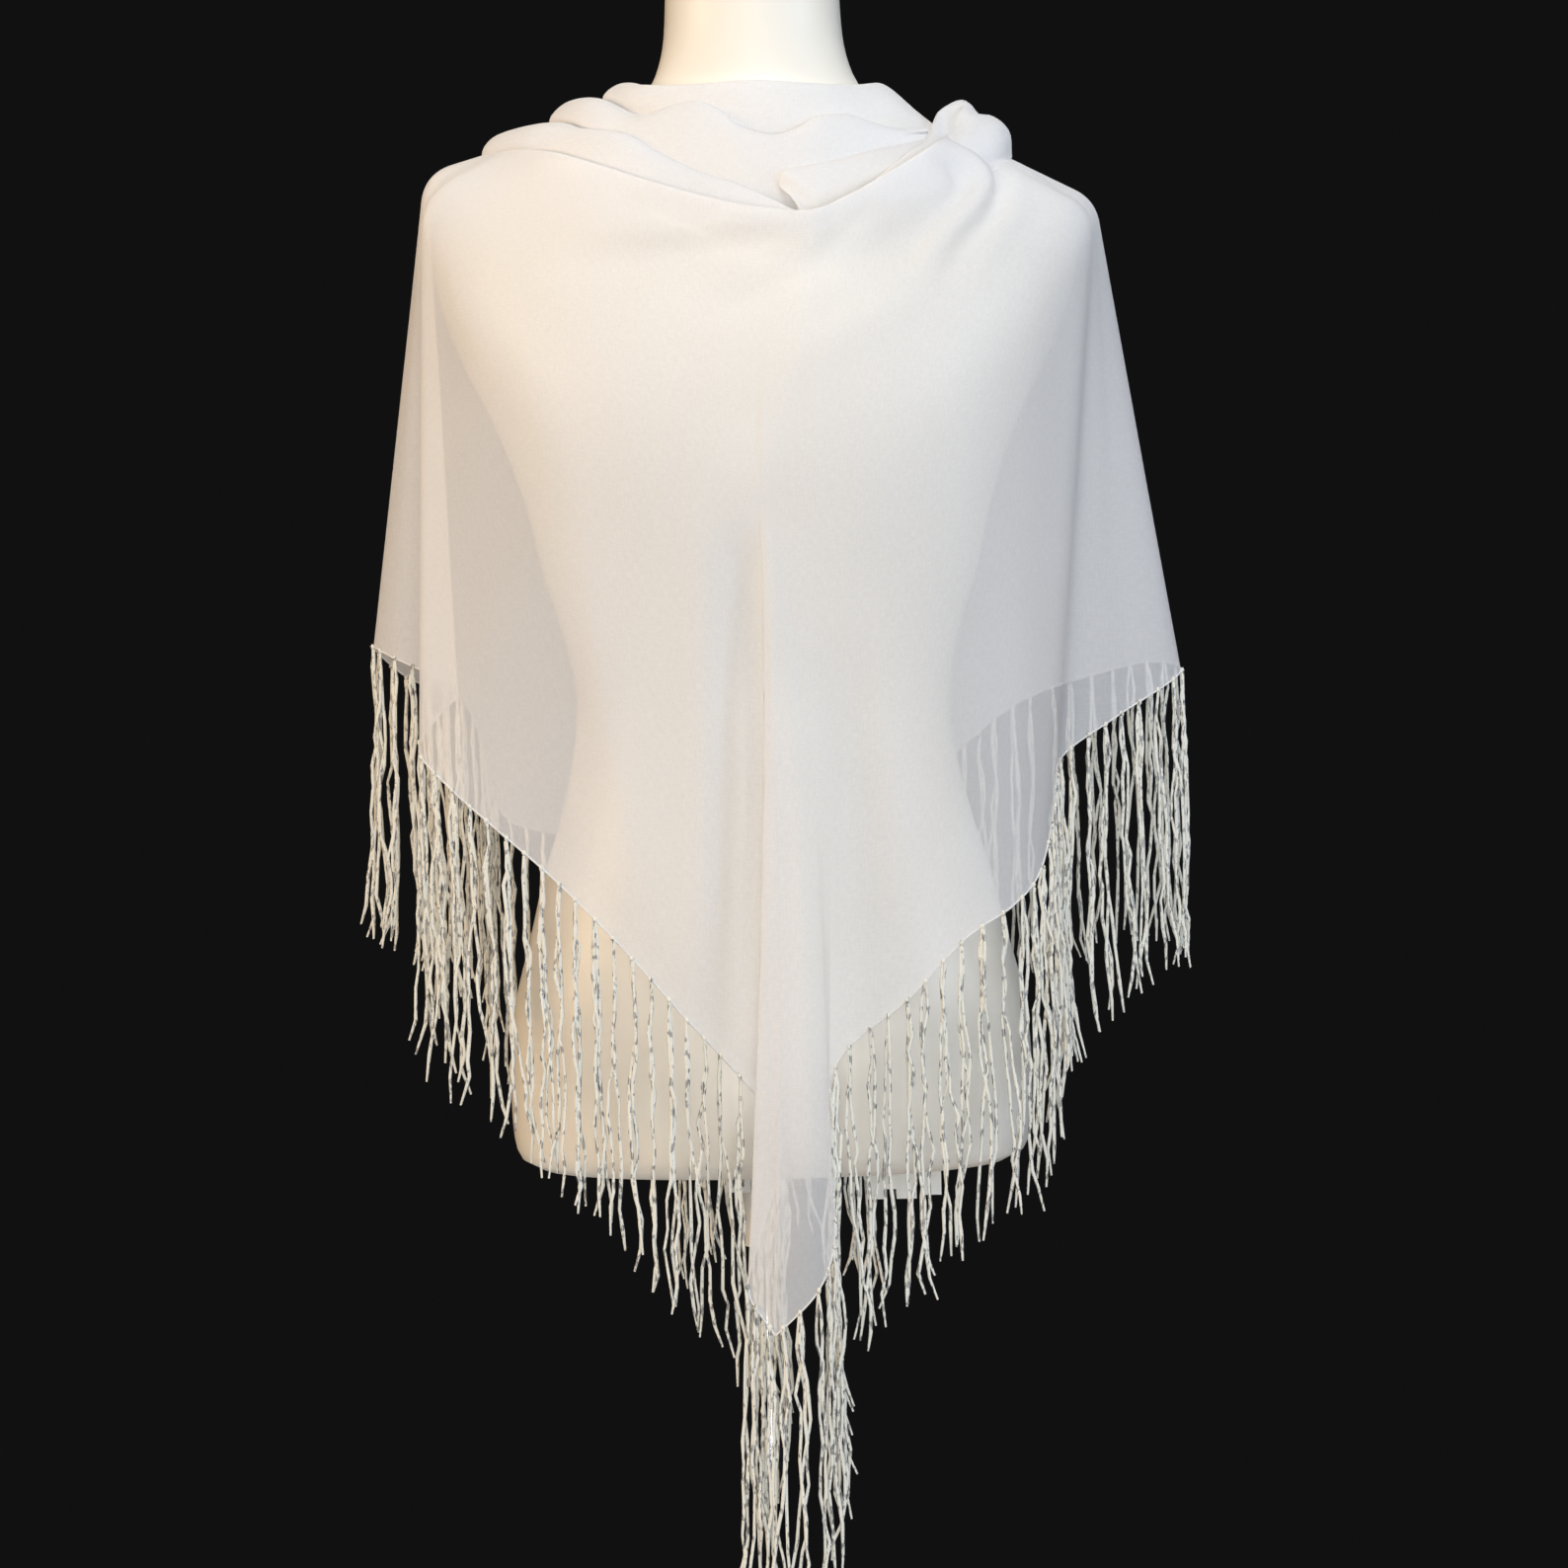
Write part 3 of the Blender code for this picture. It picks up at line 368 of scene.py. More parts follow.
def formOutline(level):  # half width, front, back, squareness and lean at a height
    form = formShape
    sizes = [np.interp(level, smoothForm[:, 0], smoothForm[:, k]) for k in (1, 2, 3)]
    neck = np.clip((level - form["neckFrom"]) / form["neckOver"], 0, 1)
    power = form["squareness"] - (form["squareness"] - 2) * neck
    lean = form["neckLean"] * np.clip((level - form["leanFrom"]) / form["leanOver"], 0, 1)
    return (*sizes, power, lean)


def formReach(places):  # how far out each place is, as a share of the form's own radius there
    halfWidth, front, back, power, lean = formOutline(places[:, 2])
    depth = np.where(places[:, 1] < 0, front, back)
    across = np.abs(places[:, 0] - lean) / halfWidth
    return (across**power + (np.abs(places[:, 1]) / depth) ** power) ** (1 / power)


def clearOfForm(grid, gap):  # lifts each place that is nearer to the form than the gap, straight out
    places = grid.reshape(-1, 3).copy()
    passes, probe = 6, 0.5  # mm, half the distance over which a slope is felt
    for _ in range(passes):
        slope = np.empty_like(places)
        for axis in range(3):
            shift = np.zeros(3)
            shift[axis] = probe
            slope[:, axis] = formReach(places + shift) - formReach(places - shift)
        steep = np.linalg.norm(slope, axis=1) + 1e-9
        short = np.maximum(gap - (formReach(places) - 1) / steep, 0)
        places += slope / steep[:, None] * short[:, None]
    return places.reshape(grid.shape)


def makeForm():
    form = formShape
    sides, edge = form["sides"], form["topEdge"]
    bottom, top = form["sections"][0][0], form["sections"][-1][0] - edge
    neckRadius = form["sections"][-1][1]
    levels = np.linspace(bottom, top, round((top - bottom) / form["ringEvery"]))
    angles = np.linspace(0, 2 * math.pi, sides, endpoint=False)
    mesh = bmesh.new()
    circle = bmesh.ops.create_circle(mesh, segments=sides, radius=1)["verts"]
    ring = sorted(circle, key=lambda vert: math.atan2(vert.co.y, vert.co.x) % (2 * math.pi - 1e-4))
    rings = [(level, 1.0) for level in levels]
    for k in range(form["edgeRings"]):
        bend = (k + 1) / form["edgeRings"] * math.pi / 2
        rings.append((top + edge * math.sin(bend), 1 - (1 - math.cos(bend)) * edge / neckRadius))
    for number, (level, share) in enumerate(rings):
        if number:
            edges = [mesh.edges.get((ring[k], ring[(k + 1) % sides])) for k in range(sides)]
            drawn = bmesh.ops.extrude_edge_only(mesh, edges=edges)["geom"]
            fresh = [part for part in drawn if isinstance(part, bmesh.types.BMVert)]
            near = {tuple(round(c, 7) for c in vert.co): vert for vert in fresh}
            ring = [near[tuple(round(c, 7) for c in vert.co)] for vert in ring]
        halfWidth, front, back, power, lean = (float(value) for value in formOutline(level))
        for vert, angle in zip(ring, angles):
            cosine, sine = math.cos(angle), math.sin(angle)
            depth = (back if sine > 0 else front) * share
            x = halfWidth * share * math.copysign(abs(cosine) ** (2 / power), cosine)
            y = depth * math.copysign(abs(sine) ** (2 / power), sine)
            vert.co = toFrame((x + lean, y, level))
    bmesh.ops.holes_fill(mesh, edges=[edge for edge in mesh.edges if edge.is_boundary], sides=0)
    bmesh.ops.recalc_face_normals(mesh, faces=mesh.faces)
    made = addPiece("formBody", mesh, formGloss, form["sharpFrom"])
    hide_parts("dress_form")


makeForm()
print("form made")

# The shawl's body is a set of fall lines: name, rim, brow, hem, soft, tuck, bow. Each starts at the rim,
# where the cloth turns inwards, passes the brow, where it leaves the form, and falls to the hem. Soft is
# how far the turn at the brow reaches, tuck how far the cloth turns in, bow how far the fall swings
# sideways. Places are in mm.
shawlBody = {
    "columnEvery": 5.0,
    "clearance": 1.3,
    "rimRadius": 5.0,
    "apex": 985,  # height where the flute starts
    "apexWidth": 0.1,  # share of the cloth between its sides that it has there
    "fluteGrowth": 0.85,  # power by which it grows downwards
    "fluteBow": 4.5,  # how far the flute's edge bows to the right
    "blendHigh": 90,  # height over which the cloth above the apex changes to the flute's
    "calmHigh": 20,  # height over which it is evened out
    "calmColumns": 4,  # columns beside the flute that are evened out too
    "calmPasses": 12,
    "rimSteps": 6,
    "shoulderSteps": 10,
    "browSteps": 14,
    "fallSteps": 46,
    "overTheTop": 8,  # the row of points that has passed the rim
    "hangsFrom": 20,  # the row from which the cloth hangs
    "browLevel": 24,  # the row at the middle of the brow
    "slopeOver": 8,  # rows from the hem upwards that give the cloth's slope there
    "tuckLean": 0.6,  # how far the cloth turns in for each millimetre that it turns down
    "least": (3, 2, 0),  # the smallest soft, tuck and bow
    "wingLeft": (
        ("tip", (74, 143, 688), (73, 150, 680), (72, 154, 664), 4, 2, 0),
        ("inner_low", (62, 138, 830), (54, 148, 780), (36, 155, 694), 20, 2, 0),
        ("inner_middle", (44, 133, 990), (28, 142, 900), (-10, 154, 729), 30, 3, 0),
        ("inner_high", (36, 124, 1132), (6, 138, 1050), (-46, 150, 756), 40, 4, 0),
        ("nape_in", (24, 97, 1206), (-14, 129, 1110), (-70, 145, 775), 42, 5, 0),
        ("nape", (-22, 95, 1208), (-52, 125, 1120), (-98, 138, 786), 45, 6, 0),
        ("blade", (-66, 82, 1212), (-98, 118, 1124), (-134, 118, 802), 45, 6, 0),
        ("behind_arm", (-106, 60, 1214), (-146, 98, 1142), (-166, 88, 816), 40, 6, 0),
        ("rear_turn", (-134, 34, 1217), (-178, 66, 1165), (-187, 68, 886), 30, 6, 0),
        ("arm_back", (-151, 15, 1218), (-191, 34, 1199), (-220, 40, 904), 22, 6, 0),
        ("arm", (-160, 0, 1219), (-198, 4, 1208), (-237, 8, 922), 26, 6, 0),
        ("arm_front", (-159, -8, 1218), (-197, -14, 1205), (-224, -16, 916), 26, 6, 0),
        ("valley", (-155, -16, 1217), (-194, -24, 1198), (-181, -44, 893), 24, 6, 0),
    ),
    "front": (
        ("fold_left_in", (-150, -23, 1217), (-195, -30, 1193), (-188, -66, 882), 24, 6, 0),
        ("fold_left", (-143, -31, 1217), (-196, -38, 1188), (-199, -98, 859), 22, 7, 0),
        ("left_4", (-131, -45, 1215), (-182, -60, 1162), (-181, -116, 838), 26, 8, 0),
        ("left_3", (-114, -64, 1210), (-156, -96, 1115), (-155, -128, 815), 40, 9, 0),
        ("left_2", (-88, -84, 1199), (-118, -128, 1082), (-122, -136, 786), 55, 10, 0),
        ("left_1", (-60, -100, 1187), (-78, -142, 1062), (-84, -142, 747), 60, 11, 0),
        ("left_0", (-30, -112, 1176), (-40, -147, 1052), (-44, -145, 701), 60, 12, 0),
        ("pleat_start", (-4, -121, 1168), (-12, -149, 1050), (-12, -137, 664), 60, 12, 0),
        ("pleat_in", (10, -124, 1165), (-1, -150, 1046), (6, -136, 640), 50, 12, 0),
        ("pleat_edge", (22, -126, 1163), (2, -151, 1044), (-15, -164, 556), 50, 12, 5),
        ("pleat_corner", (24, -126, 1163), (3, -151, 1044), (-14, -165, 549), 50, 12, 4),
        ("tip_near", (31, -127, 1163), (8, -151, 1044), (-2, -168, 531), 50, 12, 2),
        ("tip", (32, -127, 1163), (9, -151, 1044), (0, -169, 528), 50, 12, 2),
        ("tip_far", (33, -127, 1163), (10, -151, 1044), (2, -169, 530), 50, 12, 2),
        ("flute_low", (40, -126, 1165), (20, -151, 1046), (22, -167, 549), 50, 12, 0),
        ("flute_side", (43, -125, 1166), (26, -150, 1047), (29.6, -163, 562), 50, 12, 0),
        ("flute_turn", (47, -123, 1168), (31, -150, 1048), (34, -158, 578), 50, 12, 0),
        ("flute_in", (54, -120, 1172), (42, -149, 1051), (32.5, -146, 622), 50, 12, 0),
        ("right_0", (63, -115, 1177), (56, -147, 1055), (37.5, -141, 676), 60, 12, 0),
        ("right_1", (77, -106, 1186), (82, -142, 1066), (80, -140, 713), 60, 11, 0),
        ("right_2", (93, -92, 1197), (120, -126, 1086), (113, -136, 746), 50, 10, 0),
        ("right_3", (106, -77, 1207), (154, -96, 1118), (140, -128, 763), 36, 8, 0),
        ("right_4", (113, -59, 1212), (182, -64, 1150), (156, -112, 779), 26, 5, 0),
        ("fold_right", (116, -43, 1217), (201, -42, 1170), (166, -92, 808), 20, 4, 0),
    ),
    "wingRight": (
        ("turn", (121, -30, 1220), (205, -30, 1172), (171, -66, 832), 18, 3, 0),
        ("valley", (125, -19, 1222), (205, -22, 1174), (177, -46, 847), 16, 3, 0),
        ("wing_1", (128, -10, 1223), (206, -14, 1178), (212, -22, 870), 14, 3, 0),
        ("arm", (130, 0, 1223), (208, 2, 1184), (255, 10, 897), 14, 3, 0),
        ("arm_back", (128, 12, 1223), (205, 28, 1181), (243, 44, 904), 18, 3, 0),
        ("rear_turn", (118, 34, 1219), (186, 62, 1164), (207, 76, 897), 24, 3, 0),
        ("behind_arm", (99, 57, 1215), (152, 94, 1142), (162, 100, 881), 34, 4, 0),
        ("blade", (68, 78, 1210), (104, 112, 1120), (122, 117, 850), 40, 5, 0),
        ("nape", (28, 87, 1206), (60, 116, 1115), (84, 125, 815), 40, 5, 0),
        ("nape_in", (-6, 89, 1205), (34, 118, 1105), (62, 128, 797), 40, 4, 0),
        ("inner_high", (-22, 106, 1122), (2, 119, 1050), (36, 132, 772), 40, 3, 0),
        ("inner_middle", (-38, 110, 990), (-24, 122, 900), (4, 137, 742), 30, 3, 0),
        ("inner_low", (-56, 118, 840), (-48, 129, 790), (-36, 138, 704), 20, 2, 0),
        ("tip", (-70, 126, 694), (-69, 132, 688), (-68, 137, 672), 4, 2, 0),
    ),
}

# Soft ridges (+) and troughs (-) of the front: width, height and the places (x, z) that they pass, in mm.
creases = (
    (6, 6.0, (
        (116, 1207), (124, 1202), (135, 1192), (137, 1183), (128, 1167), (109, 1148), (98, 1131),
    )),
    (6, -3.5, ((108, 1196), (120, 1190), (123, 1180), (112, 1164), (98, 1150))),
    (7, -4.5, ((143, 1200), (147, 1188), (146, 1178), (139, 1162), (124, 1142), (110, 1122))),
    (7, 3.0, ((152, 1200), (156, 1186), (152, 1168), (140, 1148), (130, 1130))),
    (7, 2.5, ((-100, 1160), (-58, 1154), (-4, 1155), (30, 1157))),
    (9, -2.8, ((-112, 1134), (-94, 1136), (-46, 1140), (0, 1145), (24, 1148))),
    (10, -3.2, ((104, 1158), (92, 1148), (37, 1129), (4, 1114), (-24, 1104))),
    (12, 2.8, ((110, 1135), (91, 1116), (56, 1094), (20, 1075))),
    (18, 2.5, ((-176, 1120), (-146, 1090), (-120, 1040), (-96, 900))),
    (9, -8.0, ((-9, 965), (-10, 900), (-12, 820), (-17, 700))),
    (6, 2.0, ((5, 975), (4, 900), (1, 800), (-4, 700))),
    (12, 3.0, ((-34, 980), (-34, 840), (-38, 720))),
    (14, -3.0, ((48, 900), (54, 800), (52, 700))),
    (16, 2.5, ((-92, 930), (-84, 850), (-78, 770))),
)


def creaseLift(grid):  # how far the creases lift each place
    lift = np.zeros(grid.shape[:2])
    front = grid[:, :, 1] < 0
    samples = 40
    fade = np.sin(np.linspace(0.04, 0.96, samples) * math.pi) ** 0.6  # each crease thins out at its ends
    for width, height, places in creases:
        path = smoothThrough(places, np.linspace(0, len(places) - 1, samples))
        away = np.linalg.norm(grid[:, :, None, [0, 2]] - path[None, None], axis=3)
        lift += (np.exp(-((away / width) ** 2)) * fade).max(axis=2) * height * front
    return lift


def outwards(grid):  # the outward direction at each place of a grid
    normal = np.cross(np.gradient(grid, axis=1), np.gradient(grid, axis=0))
    return normal / (np.linalg.norm(normal, axis=2)[:, :, None] + 1e-9)


def fallGrid(rows):  # the cloth's points, by columns from end to end and rows from rim to hem
    cloth = shawlBody
    rim, brow, hem = (np.array([row[k] for row in rows], float) for k in (1, 2, 3))
    extra = np.array([row[4:7] for row in rows], float)
    steps = [np.linalg.norm(np.diff(places, axis=0), axis=1) for places in (brow, hem)]
    where = columnPlaces(np.maximum(*steps), cloth["columnEvery"])
    rim, brow, hem, extra = (smoothThrough(values, where) for values in (rim, brow, hem, extra))
    soft, tucked, bow = np.split(np.maximum(extra, cloth["least"]), 3, axis=1)
    inward = -rim * (1, 1, 0) / np.linalg.norm(rim * (1, 1, 0), axis=1)[:, None]
    tuck = rim + inward * tucked * cloth["tuckLean"] - (0, 0, 1) * tucked
    overRim = turnCorner(tuck, rim, brow, cloth["rimRadius"], cloth["rimSteps"])
    overBrow = turnCorner(rim, brow, hem, soft, cloth["browSteps"])
    shoulder = straightRun(overRim[-1], overBrow[0], cloth["shoulderSteps"])
    falling = straightRun(overBrow[-1], hem, cloth["fallSteps"])
    levels = [tuck] + overRim + shoulder + overBrow + falling + [hem]
    first = len(levels) - len(falling) - 1
    for k in range(first, len(levels)):
        levels[k] = levels[k] + bow * (1, 0, 0) * math.sin(math.pi * (k - first + 1) / (len(falling) + 1))
    return np.array(levels).transpose(1, 0, 2), where


def besideFlute(side, height):  # x and y of a side of the flute at each height
    hanging = side[shawlBody["hangsFrom"]:][::-1]
    rise = hanging[shawlBody["slopeOver"]] - hanging[0]
    slope = rise / rise[2]
    below = np.minimum(height - hanging[0, 2], 0)
    return np.column_stack([
        np.interp(height, hanging[:, 2], hanging[:, k]) + below * slope[k] for k in (0, 1)
    ])


def raiseFlute(grid, where, rows):  # the flute grows from its apex, and the cloth is plain above it
    cloth = shawlBody
    apex = cloth["apex"]
    start, edge, turn, end = (int(np.argmin(np.abs(where - row))) for row in rows)
    brow = grid[:, cloth["browLevel"], 0]
    shares = (brow - brow[start]) / (brow[end] - brow[start])
    marks = [0, shares[edge], shares[turn], 1]
    narrow = [0, shares[edge], shares[edge] + cloth["apexWidth"], 1]
    sides = grid[start].copy(), grid[end].copy()
    for column in range(start + 1, end):
        share = np.interp(shares[column], marks, narrow)
        height = grid[column, :, 2]
        plain = besideFlute(sides[0], height) * (1 - share) + besideFlute(sides[1], height) * share
        growth = np.clip((apex - height) / (apex - height[-1]), 0, 1) ** cloth["fluteGrowth"]
        fluted = plain + (grid[column, -1, :2] - plain[-1]) * growth[:, None]
        swing = np.interp(shares[column], marks, (0, 1, 1, 0)) * cloth["fluteBow"]
        fluted[:, 0] += swing * np.sin(growth * math.pi)
        below = np.clip((apex + cloth["blendHigh"] - height) / cloth["blendHigh"], 0, 1)
        below[:cloth["overTheTop"]] = 0
        below = (below * below * (3 - 2 * below))[:, None]
        grid[column, :, :2] = grid[column, :, :2] * (1 - below) + fluted * below
    calm = np.clip((grid[:, :, 2:] - apex) / cloth["calmHigh"], 0, 1)
    calm[:start - cloth["calmColumns"]] = 0
    calm[end + cloth["calmColumns"]:] = 0
    calm[:, :cloth["overTheTop"]] = 0
    for _ in range(cloth["calmPasses"]):
        even = (grid[:-2] + 2 * grid[1:-1] + grid[2:]) / 4
        grid[1:-1] += (even - grid[1:-1]) * calm[1:-1]
    return grid


def makeShawlBody():
    rows = shawlBody["wingLeft"] + shawlBody["front"] + shawlBody["wingRight"]
    names = [row[0] for row in rows]
    grid, where = fallGrid(rows)
    flute = [names.index(name) for name in ("pleat_start", "pleat_edge", "flute_turn", "right_0")]
    grid = raiseFlute(grid, where, flute)
    grid = grid + outwards(grid) * creaseLift(grid)[:, :, None]
    grid = clearOfForm(grid, shawlBody["clearance"])
    made = addPiece("shawlBody", sheetMesh(grid), chiffon)
    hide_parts("shawl_wing_left", "shawl_front", "shawl_wing_right")
    return made, grid[:, -1], outwards(grid)[:, -1], where


body, hemLine, hemFacing, hemWhere = makeShawlBody()
print("shawl body made")

# The cowl is a set of folds nested round the neck. Each rises from its foot, swells outwards, passes its
# crown and turns in over its rim. Places are in mm: foot, swell, crown, rim. The outer and the inner fold
# run from the back round the left shoulder to the right one, and the collar goes all round.
cowl = {
    "columnEvery": 2.2,
    "clearance": 1.2,
    "tuckIn": 5.0,
    "tuckDown": 11.0,
    "outer": (
        ((85, 52, 1214), (90, 56, 1222), (86, 52, 1230), (78, 47, 1230)),
        ((50, 72, 1207), (54, 82, 1222), (50, 79, 1235), (45, 72, 1236)),
        ((0, 80, 1205), (0, 91, 1222), (0, 87, 1237), (0, 79, 1238)),
        ((-100, 50, 1210), (-114, 53, 1224), (-106, 49, 1238), (-92, 44, 1238)),
        ((-152, 0, 1207), (-163, 0, 1218), (-156, 0, 1229), (-124, 1, 1233)),
        ((-130, -36, 1208), (-140, -38, 1216), (-130, -36, 1228), (-108, -38, 1229)),
        ((-112, -50, 1204), (-118, -52, 1212), (-106, -52, 1224), (-94, -50, 1222)),
        ((-88, -72, 1188), (-92, -74, 1200), (-78, -70, 1217), (-68, -66, 1215)),
        ((-64, -88, 1176), (-66, -90, 1187), (-58, -80, 1205), (-50, -75, 1202)),
        ((-36, -98, 1166), (-38, -101, 1174), (-32, -92, 1190), (-24, -87, 1187)),
        ((-14, -106, 1158), (-14, -108, 1166), (-12, -98, 1183), (-6, -93, 1180)),
        ((8, -111, 1152), (8, -113, 1158), (8, -106, 1173), (10, -101, 1171)),
        ((26, -112, 1150), (27, -114, 1154), (27, -111, 1163), (27, -106, 1162)),
        ((36, -112, 1152), (33, -113, 1160), (22, -105, 1173), (25, -100, 1171)),
        ((39, -111, 1153), (35, -111, 1163), (17, -101, 1178), (22, -96, 1176)),
        ((42, -110, 1154), (37, -110, 1167), (15, -98, 1183), (21, -94, 1180)),
        ((44, -109, 1156), (39, -109, 1170), (17, -99, 1188), (22, -94, 1185)),
        ((47, -107, 1158), (43, -107, 1173), (23, -97, 1190), (26, -91, 1187)),
        ((54, -104, 1162), (52, -104, 1176), (37, -93, 1193), (38, -87, 1190)),
        ((66, -97, 1172), (66, -97, 1184), (54, -84, 1198), (53, -79, 1195)),
        ((84, -86, 1184), (83, -86, 1193), (71, -76, 1203), (69, -71, 1200)),
        ((98, -74, 1193), (98, -72, 1200), (90, -66, 1208), (87, -61, 1205)),
        ((116, -56, 1204), (115, -54, 1210), (110, -50, 1214), (106, -46, 1211)),
    ),
    "inner": (
        ((40, 66, 1228), (42, 72, 1238), (40, 70, 1247), (36, 64, 1247)),
        ((0, 72, 1226), (0, 78, 1238), (0, 75, 1248), (0, 69, 1248)),
        ((-64, 56, 1232), (-68, 58, 1241), (-62, 54, 1251), (-54, 49, 1251)),
        ((-100, 30, 1232), (-112, 31, 1240), (-104, 29, 1251), (-90, 26, 1251)),
        ((-113, 0, 1228), (-122, 0, 1238), (-112, 0, 1249), (-93, 0, 1250)),
        ((-96, -34, 1222), (-106, -36, 1231), (-97, -35, 1243), (-84, -33, 1243)),
        ((-74, -60, 1202), (-80, -62, 1214), (-68, -56, 1229), (-58, -51, 1229)),
        ((-56, -74, 1188), (-58, -76, 1204), (-44, -62, 1235), (-40, -56, 1234)),
        ((-36, -84, 1180), (-38, -86, 1196), (-31, -66, 1236), (-29, -60, 1234)),
        ((-20, -90, 1172), (-20, -92, 1188), (-16, -74, 1228), (-15, -68, 1225)),
        ((-6, -95, 1164), (-6, -97, 1180), (-7, -80, 1219), (-6, -74, 1216)),
        ((16, -98, 1158), (15, -100, 1174), (13, -84, 1212), (13, -78, 1210)),
        ((26, -97, 1162), (26, -98, 1180), (24, -81, 1215), (24, -75, 1212)),
        ((42, -92, 1172), (42, -92, 1190), (40, -74, 1224), (40, -68, 1222)),
        ((58, -84, 1182), (58, -83, 1198), (57, -67, 1226), (56, -61, 1224)),
        ((72, -74, 1192), (72, -73, 1204), (71, -63, 1222), (69, -57, 1220)),
        ((90, -64, 1200), (89, -62, 1209), (86, -56, 1219), (83, -51, 1217)),
        ((114, -48, 1207), (113, -46, 1213), (107, -42, 1219), (103, -38, 1217)),
    ),
    "collar": (
        ((-82, 0, 1240), (-89, 0, 1251), (-79, 0, 1259.5), (-64, 0, 1258)),
        ((-72, -36, 1230), (-77, -37, 1242), (-68, -35, 1252), (-58, -33, 1250)),
        ((-42, -60, 1216), (-44, -62, 1230), (-39, -56, 1247), (-35, -53, 1247)),
        ((2, -74, 1198), (2, -76, 1218), (2, -65, 1247), (2, -61, 1248)),
        ((44, -70, 1204), (44, -69, 1224), (40, -57, 1246), (37, -54, 1246)),
        ((82, -60, 1204), (76, -52, 1224), (63, -42, 1247), (58, -39, 1248)),
        ((114, -40, 1212), (98, -32, 1230), (76, -24, 1252), (68, -21, 1251)),
        ((118, 0, 1224), (100, 0, 1239), (79, 0, 1256), (70, 0, 1255)),
        ((84, 42, 1228), (78, 42, 1241), (63, 39, 1255), (56, 36, 1254)),
        ((0, 64, 1240), (0, 68, 1248), (0, 63, 1258), (0, 58, 1257)),
        ((-60, 40, 1238), (-66, 39, 1248), (-60, 37, 1258), (-53, 35, 1257)),
    ),
    "levels": 30,
}


def cowlGrid(rows, closed):  # a fold's points, by columns round the neck and levels from tuck to foot
    lines = np.array(rows, float).transpose(1, 0, 2)
    crown = lines[2]
    ends = np.roll(crown, -1, axis=0) if closed else crown[1:]
    where = columnPlaces(np.linalg.norm(ends - crown[:len(ends)], axis=1), cowl["columnEvery"], closed)
    foot, swell, crown, rim = (smoothThrough(line, where, closed) for line in lines)
    inward = -rim * (1, 1, 0) / np.linalg.norm(rim * (1, 1, 0), axis=1)[:, None]
    tuck = rim + inward * cowl["tuckIn"] - (0, 0, cowl["tuckDown"])
    levels = np.linspace(0, 4, cowl["levels"])
    return np.array([smoothThrough(column, levels) for column in zip(tuck, rim, crown, swell, foot)])


def makeCowl():
    made = []
    for name, key, closed in (
        ("cowlOuterFold", "outer", False),
        ("cowlInnerFold", "inner", False),
        ("cowlCollarFold", "collar", True),
    ):
        grid = clearOfForm(cowlGrid(cowl[key], closed), cowl["clearance"])
        piece = addPiece(name, sheetMesh(grid, closed), chiffon)
        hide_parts("cowl_" + key)
        made.append(piece)
    return made


cowlOuterFold, cowlInnerFold, cowlCollarFold = makeCowl()
print("cowl made")

# The bunch is cloth gathered over the right shoulder, as a roll that thins out along the front's rim:
# for each place from back to front, its outline across in (x, z). Places are in mm.
bunch = {
    "pointEvery": 2.5,
    "fullest": 3,  # the outline that sets how many points go across
    "outlines": (
        (56, ((88, 1204), (90, 1209), (93, 1212), (96, 1213), (99, 1212),
            (102, 1211), (105, 1209), (107, 1206), (109, 1203), (110, 1198))),
        (40, ((98, 1210), (101, 1219), (106, 1225), (111, 1227), (116, 1225),
            (120, 1222), (124, 1221), (128, 1217), (131, 1211), (132, 1203))),
        (22, ((105, 1220), (108, 1230), (114, 1237), (121, 1239), (127, 1236),
            (132, 1234), (138, 1233), (145, 1228), (149, 1221), (150, 1209))),
        (4, ((110, 1226), (113, 1235), (120, 1242), (128, 1244), (134, 1241),
            (138, 1237), (144, 1236), (151, 1231), (156, 1225), (157, 1211))),
        (-12, ((109, 1222), (112, 1232), (118, 1240), (127, 1243), (133, 1240),
            (137, 1235), (144, 1234), (151, 1230), (156, 1223), (157, 1208))),
        (-26, ((106, 1216), (109, 1227), (113, 1234), (119, 1229), (126, 1235),
            (134, 1232), (141, 1229), (148, 1226), (153, 1218), (154, 1203))),
        (-38, ((103, 1210), (106, 1220), (111, 1226), (116, 1218), (123, 1222),
            (131, 1223), (137, 1221), (143, 1218), (148, 1211), (149, 1197))),
        (-54, ((98, 1203), (101, 1210), (106, 1214), (111, 1213), (116, 1211),
            (122, 1211), (127, 1209), (132, 1205), (136, 1199), (137, 1188))),
        (-72, ((90, 1195), (92, 1201), (97, 1205), (101, 1204), (105, 1202),
            (109, 1200), (113, 1197), (116, 1193), (118, 1188), (119, 1181))),
        (-90, ((77, 1185), (79, 1189), (83, 1192), (86, 1191), (89, 1189),
            (92, 1187), (94, 1185), (96, 1182), (97, 1178), (98, 1173))),
        (-106, ((62, 1172), (63, 1174), (65, 1176), (67, 1175), (68, 1174),
            (69, 1173), (70, 1171), (71, 1169), (72, 1167), (72, 1165))),
    ),
}


